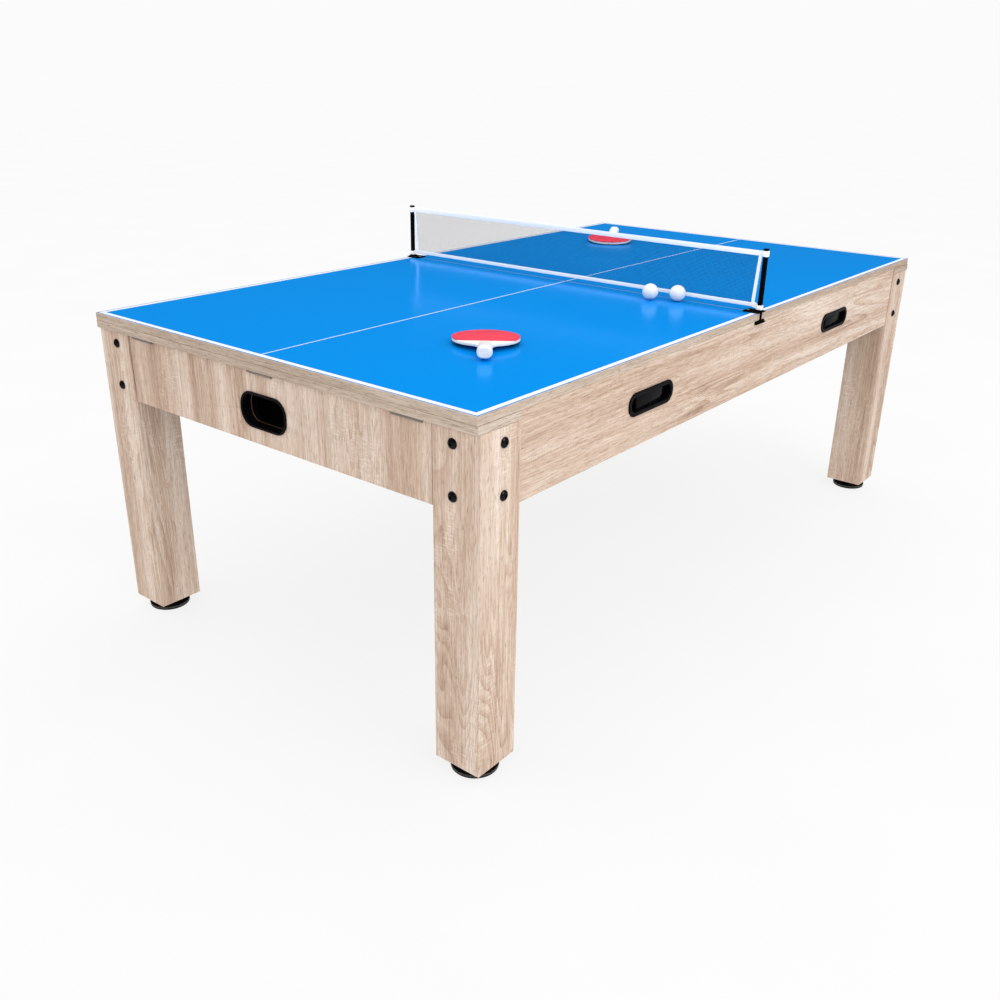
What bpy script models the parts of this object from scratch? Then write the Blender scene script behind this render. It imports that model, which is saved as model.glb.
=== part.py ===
"""Seven-foot pool table wearing its table-tennis conversion top.

The frame is four hollow square legs under two end rails, with long aprons let in
between them, a hinged flap at the -X end and a fixed apron at the +X end. Inside are
the bed and its cloth, six cushions, six drop pockets, two ball gullies and the
ball trough behind the flap. Two half tops, a clip-on net, two bats and two balls lie
on it. Metres, +Z up, origin on the floor under the middle, +X along the table.
"""
import math

import bmesh
import bpy
from mathutils import Matrix, Vector

# Overall sizes
LENGTH = 2.130
WIDTH = 1.160
HEIGHT = 0.770
GAP = 0.0003                    # between parts that touch

# Half tops
TOP_THICKNESS = 0.018
TOP_EDGE_ROUND = 0.0008
SEAM = 0.0006

# Frame
END_RAIL_THICKNESS = 0.017
APRON_DEPTH = 0.160             # below the end rails
APRON_THICKNESS = 0.015
APRON_SETBACK = 0.003           # behind the leg faces
LEG_SIDE = 0.112
LEG_OVERHANG = 0.007            # end rails stand out past the legs
LEG_PROUD = 0.002               # legs stand out past the half tops' long edges
LEG_EDGE_ROUND = 0.0010
LEG_FLOOR = 0.018
JOINT_GAP = 0.0005

# Levelling feet
FOOT_HEIGHT = 0.026
FOOT_RADIUS = 0.050
FOOT_STEM_RADIUS = 0.005
FOOT_STEM_LENGTH = 0.050
FOOT_STEM_CLEARANCE = 0.0006
FOOT_BASE_EDGE = 0.003
FOOT_RIM_HEIGHT = 0.011
FOOT_SHOULDER = 0.004
FOOT_NECK_RADIUS = 0.027
FOOT_NECK_HEIGHT = 0.018
FOOT_SEGMENTS = 20

# Corner brackets and their cup-head bolts
BRACKET_THICKNESS = 0.003
BRACKET_HEIGHT = 0.130
BRACKET_REACH = 0.060           # past the leg, behind an apron
BRACKET_STOP = 0.012            # past the leg, behind the flap, as its stop
BOLT_INSET = 0.064              # from the leg's outer corner
BOLT_UPPER_DROP = 0.064         # below the top of the table
BOLT_LOWER_DROP = 0.164
BOLT_RADIUS = 0.004
BOLT_CLEARANCE = 0.0004
BOLT_HEAD_RADIUS = 0.0105
BOLT_HEAD_HEIGHT = 0.0055
BOLT_HEAD_SHOULDER_RADIUS = 0.0098
BOLT_HEAD_SHOULDER_HEIGHT = 0.0032
BOLT_HEAD_TOP_RADIUS = 0.0069
BOLT_SOCKET_RADIUS = 0.0038
BOLT_SOCKET_DEPTH = 0.0030
NUT_RADIUS = 0.0075
NUT_HEIGHT = 0.006
BOLT_SEGMENTS = 10

# Bed, cloth, rails and cushions
RAIL_HEIGHT = 0.042             # bed surface to rail top
BED_THICKNESS = 0.025
BED_PAST_RAIL = 0.024
BED_NOTCH_OVERLAP = 0.0215      # corner notch past the pocket hole's edge
CLOTH_THICKNESS = 0.001
CLOTH_UNDER_RAIL = 0.012
RAIL_RIB = 0.020
CUSHION_DEPTH = 0.040
CUSHION_NOSE_DROP = 0.007       # nose below the rail's top
CUSHION_NOSE_BELOW = 0.006
CUSHION_NOSE_ABOVE = 0.003
CUSHION_NOSE_BACK = 0.004
CUSHION_FOOT = 0.018            # flat underside, out from the rail
CUSHION_LIFT = 0.001            # underside above the cloth
CUSHION_TOP_DROP = 0.0012       # back edge below the rail's top
CORNER_JAW_PAST_POCKET = 0.032  # cushion's back end past the pocket's inside
CORNER_JAW_SLOPE = 1.1
SIDE_JAW_PAST_POCKET = 0.012
SIDE_JAW_SLOPE = 0.25

# Pockets
POCKET_RADIUS = 0.050
POCKET_WALL = 0.003
POCKET_FLANGE = 0.006
POCKET_FLANGE_THICKNESS = 0.003
POCKET_BELOW_BED = 0.017
CORNER_POCKET_BACK = 0.008      # pocket centre behind the rails' inner edges
SIDE_POCKET_BACK = 0.013
POCKET_CLEARANCE = 0.001        # flange to the apron
POCKET_MOUTH_LIP = 0.008
POCKET_SEGMENTS = 24

# Bed supports
LEDGE = 0.020
LEDGE_BRACKET_MARGIN = 0.016    # between a ledge and the corner bracket
LEDGE_POCKET_MARGIN = 0.011
LEDGE_TRAY_MARGIN = 0.012
BEAM_THICKNESS = 0.018
BEAM_DEPTH = 0.060
BEAM_X = 0.300

# Ball return
GULLY_WIDTH = 0.070
GULLY_WALL = 0.0025
GULLY_FLOOR_HIGH = 0.028        # floor above the apron's lower edge, +X end
GULLY_FLOOR_LOW = 0.016         # and at the trough
GULLY_END_PAST_POCKET = 0.050
TROUGH_WALL = 0.003
TROUGH_LIFT = 0.0015            # above the apron's lower edge
TROUGH_FRONT_GAP = 0.028        # behind the flap
TROUGH_LENGTH = 0.122
TROUGH_FLOOR_LIFT = 0.0045
TROUGH_FLOOR_FALL = 0.004
TROUGH_HEIGHT = 0.0835
TROUGH_WINDOW_LIP = 0.030
TROUGH_WINDOW_MARGIN = 0.023

# Oval fittings in the panels
TRAY_X = 0.495
TRAY_WIDTH = 0.178
TRAY_HEIGHT = 0.052
TRAY_CORNER = 0.022
TRAY_PAST_APRON = 0.0025        # tray's back behind the apron
TRAY_RIM = 0.007
WINDOW_DROP = 0.122             # window centre below the top of the table
WINDOW_WIDTH = 0.144
WINDOW_HEIGHT = 0.078
WINDOW_CORNER = 0.034
WINDOW_DEPTH = 0.034
WINDOW_RIM = 0.006
FITTING_DROP = 0.100            # tray centre below the top of the table
FITTING_WALL = 0.0025
FLANGE_THICKNESS = 0.0025
FLANGE_ROUND = 0.0012
FITTING_CLEARANCE = 0.0005

# Flap and its butt hinges
FLAP_SIDE_GAP = 0.003
FLAP_EDGE_ROUND = 0.0004
HINGE_INSET = 0.060             # outer hinges' middles from the legs
HINGE_LENGTH = 0.075
HINGE_MIDDLE = 0.025
HINGE_LEAF = 0.0015
HINGE_PIN_RADIUS = 0.0014
HINGE_PIN_CLEARANCE = 0.0003
HINGE_PIN_LENGTH = 0.040
HINGE_LEAF_SHORT = 0.0016       # leaf's tip short of the flap's back
HINGE_LEAF_DROP = 0.00001       # fixed leaf's face below the barrel's top
HINGE_CUT_CLEARANCE = 0.0004
HINGE_SEGMENTS = 12

# Net, posts and clips
NET_HEIGHT = 0.146
NET_LIFT = 0.012                # bottom tape above the table
NET_THICKNESS = 0.003
NET_TAPE = 0.014
NET_SIDE_INSET = 0.013          # net's side tape from its post
NET_STRAP = 0.007               # strap at the post's foot
POST_SIDE = 0.010
POST_HEIGHT = 0.152
POST_INSET = 0.003              # post's outer face behind the clip's edge
CLIP_PLATE_ALONG = 0.036
CLIP_PLATE_ACROSS = 0.044
CLIP_THICKNESS = 0.003
CLIP_WEB = 0.006
CLIP_JAW_ALONG = 0.050
CLIP_JAW_THICKNESS = 0.008
CLIP_OVERHANG = 0.0045
CLIP_NOTCH_CLEARANCE = 0.001

# Bats and balls
BLADE_LENGTH = 0.152
BLADE_WIDTH = 0.145
BLADE_THICKNESS = 0.010
BLADE_SEGMENTS = 24
HANDLE_LENGTH = 0.100
HANDLE_WIDTH = 0.032
HANDLE_HEIGHT = 0.026
HANDLE_CORNER = 0.0114
HANDLE_STEPS = 3
HANDLE_ROOT = 0.052             # handle starts this far from the blade's centre
HANDLE_ROOT_SCALE = 0.94        # handle's section there, against its end
BALL_RADIUS = 0.020
BALL_SEGMENTS = 14
BALL_RINGS = 8
BATS = {
    "bat_front": ((-0.675, -0.275), 218.5),
    "bat_rear": ((0.680, 0.300), 27.0),
}
BALLS = {
    "ball_left": (-0.052, -0.300),
    "ball_right": (-0.022, -0.362),
}

# Derived places
HALF_X = LENGTH / 2
HALF_Y = WIDTH / 2
LEG_X = HALF_X - LEG_OVERHANG
LEG_Y = HALF_Y + LEG_PROUD
LEG_IN_X = LEG_X - LEG_SIDE
LEG_IN_Y = LEG_Y - LEG_SIDE
TOP_Z = HEIGHT - TOP_THICKNESS
RAIL_Z = TOP_Z - END_RAIL_THICKNESS
APRON_Z = RAIL_Z - APRON_DEPTH
APRON_OUT_Y = LEG_Y - APRON_SETBACK
APRON_IN_Y = APRON_OUT_Y - APRON_THICKNESS
END_OUT_X = LEG_X - APRON_SETBACK
END_IN_X = END_OUT_X - APRON_THICKNESS
LEG_WALL = APRON_SETBACK + APRON_THICKNESS
RAIL_TOP_Z = TOP_Z - GAP
BED_TOP_Z = TOP_Z - RAIL_HEIGHT
BED_Z = BED_TOP_Z - BED_THICKNESS
CLOTH_TOP_Z = BED_TOP_Z + GAP + CLOTH_THICKNESS
POCKET_OUTER = POCKET_RADIUS + POCKET_WALL
POCKET_REACH = POCKET_OUTER + POCKET_FLANGE
LONG_RAIL_WIDTH = POCKET_REACH + POCKET_CLEARANCE + SIDE_POCKET_BACK
RAIL_IN_X = LEG_IN_X
RAIL_IN_Y = APRON_IN_Y - JOINT_GAP - LONG_RAIL_WIDTH
CORNER_X = RAIL_IN_X + CORNER_POCKET_BACK
CORNER_Y = RAIL_IN_Y + CORNER_POCKET_BACK
SIDE_POCKET_Y = RAIL_IN_Y + SIDE_POCKET_BACK
POCKET_HOLE = POCKET_OUTER + JOINT_GAP
CORNER_JAW_ALONG = POCKET_RADIUS + CORNER_JAW_PAST_POCKET
SIDE_JAW_ALONG = POCKET_RADIUS + SIDE_JAW_PAST_POCKET
CUSHION_NOSE_HEIGHT = RAIL_HEIGHT - CUSHION_NOSE_DROP
BED_X = RAIL_IN_X + BED_PAST_RAIL
BED_Y = APRON_IN_Y - BRACKET_THICKNESS - 3 * JOINT_GAP
BED_REST_Z = BED_Z - GAP
FITTING_Z = HEIGHT - FITTING_DROP
WINDOW_Z = HEIGHT - WINDOW_DROP
TRAY_DEPTH = APRON_THICKNESS + TRAY_PAST_APRON
TROUGH_FRONT_X = -(END_IN_X - TROUGH_FRONT_GAP)
TROUGH_BACK_X = TROUGH_FRONT_X + TROUGH_LENGTH
GULLY_OUTER = GULLY_WIDTH / 2 + GULLY_WALL
GULLY_TOP_Z = BED_REST_Z - LEDGE - GAP
HINGE_RADIUS = 2 * HINGE_LEAF + GAP
HINGE_OUT = HINGE_RADIUS + GAP
HINGE_LEAF_REACH = HINGE_OUT + APRON_THICKNESS - HINGE_LEAF_SHORT
HINGE_X = -(END_OUT_X + HINGE_OUT)
HINGE_Y = LEG_IN_Y - HINGE_INSET
HINGE_Z = RAIL_Z - GAP - HINGE_RADIUS
POCKETS = [(sx * CORNER_X, sy * CORNER_Y) for sx in (-1, 1) for sy in (-1, 1)]
POCKETS += [(0.0, sy * SIDE_POCKET_Y) for sy in (-1, 1)]
SIDES = {"left": 1, "right": -1}
ENDS = {"front": -1, "rear": 1}


def material(name, colour, roughness, metallic=0.0):
    """Principled material, made once for each name."""
    found = bpy.data.materials.get(name)
    if found:
        return found
    made = bpy.data.materials.new(name)
    made.use_nodes = True
    shader = made.node_tree.nodes["Principled BSDF"]
    shader.inputs["Base Color"].default_value = (*colour, 1.0)
    shader.inputs["Roughness"].default_value = roughness
    shader.inputs["Metallic"].default_value = metallic
    made.diffuse_color = (*colour, 1.0)
    return made


def oak():
    return material("oak_laminate", (0.64, 0.48, 0.36), 0.5)


def oak_edge():
    return material("oak_edging", (0.56, 0.43, 0.32), 0.55)


def black_plastic():
    return material("black_plastic", (0.012, 0.012, 0.013), 0.4)


def steel():
    return material("zinc_steel", (0.45, 0.44, 0.42), 0.35, 1.0)


def cushion_cloth():
    return material("cushion_cloth", (0.02, 0.12, 0.42), 0.95)


def place(name, mesh_data, finish, origin=(0.0, 0.0, 0.0), smooth=False):
    """Object from a bmesh in world places, with its own origin."""
    mesh_data.normal_update()
    mesh = bpy.data.meshes.new(name)
    bmesh.ops.translate(mesh_data, verts=mesh_data.verts, vec=-Vector(origin))
    mesh_data.to_mesh(mesh)
    mesh_data.free()
    mesh.materials.append(finish)
    if smooth:
        mesh.shade_smooth()
        mesh.set_sharp_from_angle(angle=math.radians(35))
    made = bpy.data.objects.new(name, mesh)
    made.location = origin
    bpy.context.scene.collection.objects.link(made)
    return made


def as_cutter(obj):
    obj.hide_render = True
    obj.display_type = 'WIRE'
    obj.hide_set(True)
    return obj


def combine(target, other, operation):
    """Live Boolean of target with other, which becomes a guide."""
    as_cutter(other)
    step = target.modifiers.new(other.name, 'BOOLEAN')
    step.operation = operation
    step.solver = 'EXACT'
    step.object = other
    return target


def box_mesh(low, high, edge_round=0.0):
    """Block between two corners, with its edges broken if asked."""
    shape = bmesh.new()
    bmesh.ops.create_cube(shape, size=1.0)
    low_corner = Vector([min(a, b) for a, b in zip(low, high)])
    high_corner = Vector([max(a, b) for a, b in zip(low, high)])
    size = high_corner - low_corner
    bmesh.ops.scale(shape, verts=shape.verts, vec=size)
    bmesh.ops.translate(shape, verts=shape.verts, vec=(low_corner + high_corner) / 2)
    if edge_round:
        bmesh.ops.bevel(shape, geom=shape.edges[:], offset=edge_round, segments=1, affect='EDGES')
    return shape


def prism_mesh(outline, start, end):
    """Solid between two copies of a flat outline; start and end place each point."""
    shape = bmesh.new()
    first = [shape.verts.new(start(*point)) for point in outline]
    last = [shape.verts.new(end(*point)) for point in outline]
    shape.faces.new(first)
    shape.faces.new(list(reversed(last)))
    count = len(outline)
    for i in range(count):
        j = (i + 1) % count
        shape.faces.new((first[j], first[i], last[i], last[j]))
    bmesh.ops.recalc_face_normals(shape, faces=shape.faces)
    return shape


def turned_mesh(profile, segments, matrix, ring=False):
    """Profile of (radius, height) spun about its own axis; ring joins the last point to the first."""
    shape = bmesh.new()
    points = [shape.verts.new((radius, 0.0, height)) for radius, height in profile]
    edges = [shape.edges.new(pair) for pair in zip(points, points[1:])]
    if ring:
        edges.append(shape.edges.new((points[-1], points[0])))
    bmesh.ops.spin(shape, geom=points + edges, cent=(0, 0, 0), axis=(0, 0, 1),
                   angle=2 * math.pi, steps=segments, use_merge=True)
    bmesh.ops.remove_doubles(shape, verts=shape.verts, dist=0.00001)
    bmesh.ops.recalc_face_normals(shape, faces=shape.faces)
    bmesh.ops.transform(shape, matrix=matrix, verts=shape.verts)
    return shape


def rounded_rectangle(width, height, corner, steps=4):
    """Outline of (across, up) points, counter-clockwise about the middle."""
    points = []
    for quarter, (sx, sy) in enumerate(((1, 1), (-1, 1), (-1, -1), (1, -1))):
        centre = (sx * (width / 2 - corner), sy * (height / 2 - corner))
        for step in range(steps + 1):
            angle = math.pi / 2 * (quarter + step / steps)
            points.append((centre[0] + corner * math.cos(angle), centre[1] + corner * math.sin(angle)))
    return points


def stacked_mesh(loops, closed_ring):
    """Skin through equal loops of points; capped at both ends unless it closes as a ring."""
    shape = bmesh.new()
    rows = [[shape.verts.new(point) for point in loop] for loop in loops]
    pairs = list(zip(rows, rows[1:]))
    if closed_ring:
        pairs.append((rows[-1], rows[0]))
    else:
        shape.faces.new(rows[0])
        shape.faces.new(rows[-1])
    count = len(rows[0])
    for lower, upper in pairs:
        for i in range(count):
            j = (i + 1) % count
            shape.faces.new((lower[i], lower[j], upper[j], upper[i]))
    bmesh.ops.recalc_face_normals(shape, faces=shape.faces)
    return shape


def cylinder_mesh(radius, low, high, centre, segments=POCKET_SEGMENTS):
    profile = [(0.0, low), (radius, low), (radius, high), (0.0, high)]
    return turned_mesh(profile, segments, Matrix.Translation((centre[0], centre[1], 0.0)))


def cut_pockets(target, low, high, pockets):
    """Clear round holes for the pockets through a board."""
    for number, centre in enumerate(pockets):
        hole = place(f"{target.name}_pocket_cut_{number}", cylinder_mesh(POCKET_HOLE, low, high, centre), oak())
        combine(target, hole, 'DIFFERENCE')


def cut_box(target, label, low, high):
    combine(target, place(f"{target.name}_{label}", box_mesh(low, high), oak()), 'DIFFERENCE')


def bolt_places():
    """Distance in from the leg's corner and height of each bolt on one face."""
    return [(BOLT_INSET, HEIGHT - drop) for drop in (BOLT_UPPER_DROP, BOLT_LOWER_DROP)]


def face_turn(sx, sy, on_end):
    """Matrix that points a turned piece's +Z out of a leg's end or side face."""
    if on_end:
        return Matrix.Rotation(sx * math.pi / 2, 4, 'Y')
    return Matrix.Rotation(-sy * math.pi / 2, 4, 'X')


def leg_bolt_frames(sx, sy):
    """Matrix at each bolt's seat on the leg's two outer faces."""
    frames = []
    for inset, height in bolt_places():
        end_seat = Matrix.Translation((sx * LEG_X, sy * (LEG_Y - inset), height))
        side_seat = Matrix.Translation((sx * (LEG_X - inset), sy * LEG_Y, height))
        frames.append(end_seat @ face_turn(sx, sy, True))
        frames.append(side_seat @ face_turn(sx, sy, False))
    return frames


def make_leg(name, sx, sy):
    """Hollow leg; above the apron's lower edge only its two outer walls go on."""
    body = box_mesh((sx * LEG_IN_X, sy * LEG_IN_Y, FOOT_HEIGHT), (sx * LEG_X, sy * LEG_Y, RAIL_Z - GAP),
                    LEG_EDGE_ROUND)
    leg = place(name, body, oak(), (sx * LEG_X, sy * LEG_Y, FOOT_HEIGHT))
    cavity_low = (sx * (LEG_IN_X + LEG_WALL), sy * (LEG_IN_Y + LEG_WALL), FOOT_HEIGHT + LEG_FLOOR)
    inner_corner = (sx * (LEG_X - LEG_WALL), sy * (LEG_Y - LEG_WALL))
    cut_box(leg, "hollow", cavity_low, (*inner_corner, RAIL_Z + LEDGE))
    open_low = (sx * (LEG_IN_X - LEDGE), sy * (LEG_IN_Y - LEDGE), APRON_Z)
    cut_box(leg, "open_top", open_low, (*inner_corner, RAIL_Z + LEDGE))
    hole_radius = BOLT_RADIUS + BOLT_CLEARANCE
    for number, frame in enumerate(leg_bolt_frames(sx, sy)):
        profile = [(0.0, -2 * LEG_WALL), (hole_radius, -2 * LEG_WALL), (hole_radius, LEG_WALL), (0.0, LEG_WALL)]
        hole = place(f"{name}_bolt_hole_{number}", turned_mesh(profile, BOLT_SEGMENTS, frame), oak())
        combine(leg, hole, 'DIFFERENCE')
    stem_hole = cylinder_mesh(FOOT_STEM_RADIUS + FOOT_STEM_CLEARANCE, 0.0, FOOT_HEIGHT + 2 * LEG_FLOOR,
                              leg_centre(sx, sy), BOLT_SEGMENTS)
    combine(leg, place(f"{name}_stem_hole", stem_hole, oak()), 'DIFFERENCE')
    return leg


def leg_centre(sx, sy):
    return (sx * (LEG_X - LEG_SIDE / 2), sy * (LEG_Y - LEG_SIDE / 2))


def make_foot(name, sx, sy):
    """Screw-in levelling foot; its origin is on its screw axis."""
    seat = FOOT_HEIGHT - GAP
    profile = [
        (0.0, 0.0), (FOOT_RADIUS - FOOT_BASE_EDGE, 0.0), (FOOT_RADIUS, FOOT_BASE_EDGE),
        (FOOT_RADIUS, FOOT_RIM_HEIGHT),
        (FOOT_RADIUS - FOOT_SHOULDER, FOOT_RIM_HEIGHT + FOOT_SHOULDER),
        (FOOT_NECK_RADIUS + FOOT_SHOULDER, FOOT_NECK_HEIGHT), (FOOT_NECK_RADIUS, seat),
        (FOOT_STEM_RADIUS, seat), (FOOT_STEM_RADIUS, seat + FOOT_STEM_LENGTH), (0.0, seat + FOOT_STEM_LENGTH),
    ]
    centre = (*leg_centre(sx, sy), 0.0)
    shape = turned_mesh(profile, FOOT_SEGMENTS, Matrix.Translation(centre))
    return place(name, shape, black_plastic(), centre, smooth=True)


def make_bracket(name, sx, sy):
    """Pressed L bracket inside a leg's corner, with the four bolts drawn tight in it."""
    out_x = LEG_X - LEG_WALL - GAP
    out_y = LEG_Y - LEG_WALL - GAP
    in_x = out_x - BRACKET_THICKNESS
    in_y = out_y - BRACKET_THICKNESS
    arm_x = LEG_IN_X - BRACKET_REACH
    arm_y = LEG_IN_Y - (BRACKET_STOP if sx < 0 else BRACKET_REACH)
    outline = [(out_x, out_y), (arm_x, out_y), (arm_x, in_y), (in_x, in_y), (in_x, arm_y), (out_x, arm_y)]
    middle = HEIGHT - (BOLT_UPPER_DROP + BOLT_LOWER_DROP) / 2
    low = middle - BRACKET_HEIGHT / 2
    high = middle + BRACKET_HEIGHT / 2
    shape = prism_mesh(outline, lambda x, y: (sx * x, sy * y, low), lambda x, y: (sx * x, sy * y, high))
    bracket = place(name, shape, steel(), (sx * LEG_X, sy * LEG_Y, middle))
    inside = -(LEG_WALL + GAP + BRACKET_THICKNESS)
    nut_face = inside + BRACKET_THICKNESS / 2
    dome = BOLT_HEAD_HEIGHT + GAP
    profile = [
        (0.0, inside - NUT_HEIGHT), (NUT_RADIUS, inside - NUT_HEIGHT), (NUT_RADIUS, nut_face),
        (BOLT_RADIUS, nut_face), (BOLT_RADIUS, GAP), (BOLT_HEAD_RADIUS, GAP),
        (BOLT_HEAD_SHOULDER_RADIUS, GAP + BOLT_HEAD_SHOULDER_HEIGHT), (BOLT_HEAD_TOP_RADIUS, dome),
        (BOLT_SOCKET_RADIUS, dome), (BOLT_SOCKET_RADIUS, dome - BOLT_SOCKET_DEPTH),
        (0.0, dome - BOLT_SOCKET_DEPTH),
    ]
    for number, frame in enumerate(leg_bolt_frames(sx, sy)):
        bolt = place(f"{name}_bolt_{number}", turned_mesh(profile, BOLT_SEGMENTS, frame), black_plastic())
        combine(bracket, bolt, 'UNION')
    return bracket


def make_end_rail(name, sx):
    """Flat board on the two legs, with the rib that backs the end cushion."""
    board = box_mesh((sx * RAIL_IN_X, -LEG_Y, RAIL_Z), (sx * HALF_X, LEG_Y, RAIL_TOP_Z), TOP_EDGE_ROUND)
    rail = place(name, board, oak_edge(), (sx * HALF_X, 0.0, RAIL_Z))
    rib_y = CORNER_Y - CORNER_JAW_ALONG
    rib = box_mesh((sx * (RAIL_IN_X + JOINT_GAP), -rib_y, CLOTH_TOP_Z + GAP),
                   (sx * (RAIL_IN_X + RAIL_RIB), rib_y, RAIL_Z + END_RAIL_THICKNESS / 2))
    combine(rail, place(f"{name}_rib", rib, oak()), 'UNION')
    cut_pockets(rail, RAIL_Z - LEDGE, TOP_Z + LEDGE, [(sx * CORNER_X, sy * CORNER_Y) for sy in (-1, 1)])
    return rail


def make_long_rail(name, sy):
    """Cap along one side, inside the apron, with the ribs that back two cushions."""
    end = LEG_IN_X - JOINT_GAP
    board = box_mesh((-end, sy * RAIL_IN_Y, RAIL_Z), (end, sy * (APRON_IN_Y - JOINT_GAP), RAIL_TOP_Z))
    rail = place(name, board, oak(), (0.0, sy * RAIL_IN_Y, RAIL_Z))
    cut_pockets(rail, RAIL_Z - LEDGE, TOP_Z + LEDGE, [p for p in POCKETS if p[1] * sy > 0])
    for label, sx in ENDS.items():
        rib = box_mesh((sx * SIDE_JAW_ALONG, sy * (RAIL_IN_Y + JOINT_GAP), CLOTH_TOP_Z + GAP),
                       (sx * (CORNER_X - CORNER_JAW_ALONG), sy * (RAIL_IN_Y + RAIL_RIB),
                        RAIL_Z + END_RAIL_THICKNESS / 2))
        combine(rail, place(f"{name}_{label}_rib", rib, oak()), 'UNION')
    return rail


def fitting_loop(width, height, corner, inset, place_point):
    outline = rounded_rectangle(width - 2 * inset, height - 2 * inset, corner - inset)
    return [place_point(across, up) for across, up in outline]


def make_long_apron(name, sy):
    """Side panel with ledges for the bed, holes for its trays and a notch for the net clip."""
    end = LEG_IN_X - JOINT_GAP
    apron = place(name, box_mesh((-end, sy * APRON_IN_Y, APRON_Z), (end, sy * APRON_OUT_Y, RAIL_TOP_Z),
                                 TOP_EDGE_ROUND), oak(), (0.0, sy * APRON_OUT_Y, APRON_Z))
    tray_half = TRAY_WIDTH / 2 + LEDGE_TRAY_MARGIN
    middle_end = POCKET_REACH + LEDGE_POCKET_MARGIN
    leg_end = LEG_IN_X - BRACKET_REACH - LEDGE_BRACKET_MARGIN
    runs = [(middle_end, TRAY_X - tray_half), (TRAY_X + tray_half, leg_end)]
    for sx in (-1, 1):
        for number, (start, stop) in enumerate(runs):
            ledge = box_mesh((sx * start, sy * (APRON_IN_Y - LEDGE), BED_REST_Z - LEDGE),
                             (sx * stop, sy * (APRON_IN_Y + APRON_THICKNESS / 2), BED_REST_Z))
            combine(apron, place(f"{name}_ledge_{sx}_{number}", ledge, oak()), 'UNION')
        inset = TRAY_RIM - FITTING_WALL - FITTING_CLEARANCE
        outline = rounded_rectangle(TRAY_WIDTH - 2 * inset, TRAY_HEIGHT - 2 * inset, TRAY_CORNER - inset)
        inner = sy * (APRON_IN_Y - LEDGE)
        outer = sy * (APRON_OUT_Y + LEDGE)
        hole = prism_mesh(outline, lambda a, u: (sx * TRAY_X + a, inner, FITTING_Z + u),
                          lambda a, u: (sx * TRAY_X + a, outer, FITTING_Z + u))
        combine(apron, place(f"{name}_tray_hole_{sx}", hole, oak()), 'DIFFERENCE')
    notch_half = CLIP_JAW_ALONG / 2 + CLIP_NOTCH_CLEARANCE
    notch_z = TOP_Z - GAP - CLIP_JAW_THICKNESS - CLIP_NOTCH_CLEARANCE
    cut_box(apron, "clip_notch", (-notch_half, sy * (APRON_IN_Y - LEDGE), notch_z),
            (notch_half, sy * (APRON_OUT_Y + LEDGE), TOP_Z + LEDGE))
    return apron


def make_tray(name, sx, sy):
    """Shallow oval tray let into a side panel; its flange covers the hole's edge."""
    face = APRON_OUT_Y + GAP
    collar = TRAY_RIM - FITTING_WALL

    def row(inset, depth):
        return fitting_loop(TRAY_WIDTH, TRAY_HEIGHT, TRAY_CORNER, inset,
                            lambda a, u: (sx * TRAY_X + a, sy * (face - depth), FITTING_Z + u))

    rows = [
        row(collar, TRAY_DEPTH), row(collar, 0.0), row(0.0, 0.0), row(0.0, FLANGE_ROUND - FLANGE_THICKNESS),
        row(FLANGE_ROUND, -FLANGE_THICKNESS), row(TRAY_RIM, -FLANGE_THICKNESS),
        row(TRAY_RIM, TRAY_DEPTH - FITTING_WALL),
    ]
    return place(name, stacked_mesh(rows, False), black_plastic(), (sx * TRAY_X, sy * face, FITTING_Z))


def make_end_apron(name):
    """Fixed panel between the +X legs."""
    half = LEG_IN_Y - JOINT_GAP
    shape = box_mesh((END_IN_X, -half, APRON_Z), (END_OUT_X, half, RAIL_Z - GAP), TOP_EDGE_ROUND)
    return place(name, shape, oak(), (END_OUT_X, 0.0, APRON_Z))


def make_flap(name):
    """Hinged panel between the -X legs; its origin is on the hinge axis."""
    half = LEG_IN_Y - FLAP_SIDE_GAP
    shape = box_mesh((-END_OUT_X, -half, APRON_Z), (-END_IN_X, half, HINGE_Z - GAP), FLAP_EDGE_ROUND)
    flap = place(name, shape, oak(), (HINGE_X, 0.0, HINGE_Z))
    inset = WINDOW_RIM - FITTING_WALL - FITTING_CLEARANCE
    outline = rounded_rectangle(WINDOW_WIDTH - 2 * inset, WINDOW_HEIGHT - 2 * inset, WINDOW_CORNER - inset)
    hole = prism_mesh(outline, lambda a, u: (-END_OUT_X - LEDGE, a, WINDOW_Z + u),
                      lambda a, u: (-END_IN_X + LEDGE, a, WINDOW_Z + u))
    combine(flap, place(f"{name}_window_hole", hole, oak()), 'DIFFERENCE')
    return flap


def make_window(name):
    """Open oval bezel and collar through the flap, for taking balls out."""
    face = -END_OUT_X - GAP
    collar = WINDOW_RIM - FITTING_WALL

    def row(inset, depth):
        return fitting_loop(WINDOW_WIDTH, WINDOW_HEIGHT, WINDOW_CORNER, inset,
                            lambda a, u: (face + depth, a, WINDOW_Z + u))

    rows = [
        row(collar, WINDOW_DEPTH), row(collar, 0.0), row(0.0, 0.0), row(0.0, FLANGE_ROUND - FLANGE_THICKNESS),
        row(FLANGE_ROUND, -FLANGE_THICKNESS), row(WINDOW_RIM, -FLANGE_THICKNESS), row(WINDOW_RIM, WINDOW_DEPTH),
    ]
    return place(name, stacked_mesh(rows, True), black_plastic(), (HINGE_X, 0.0, HINGE_Z))


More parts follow.
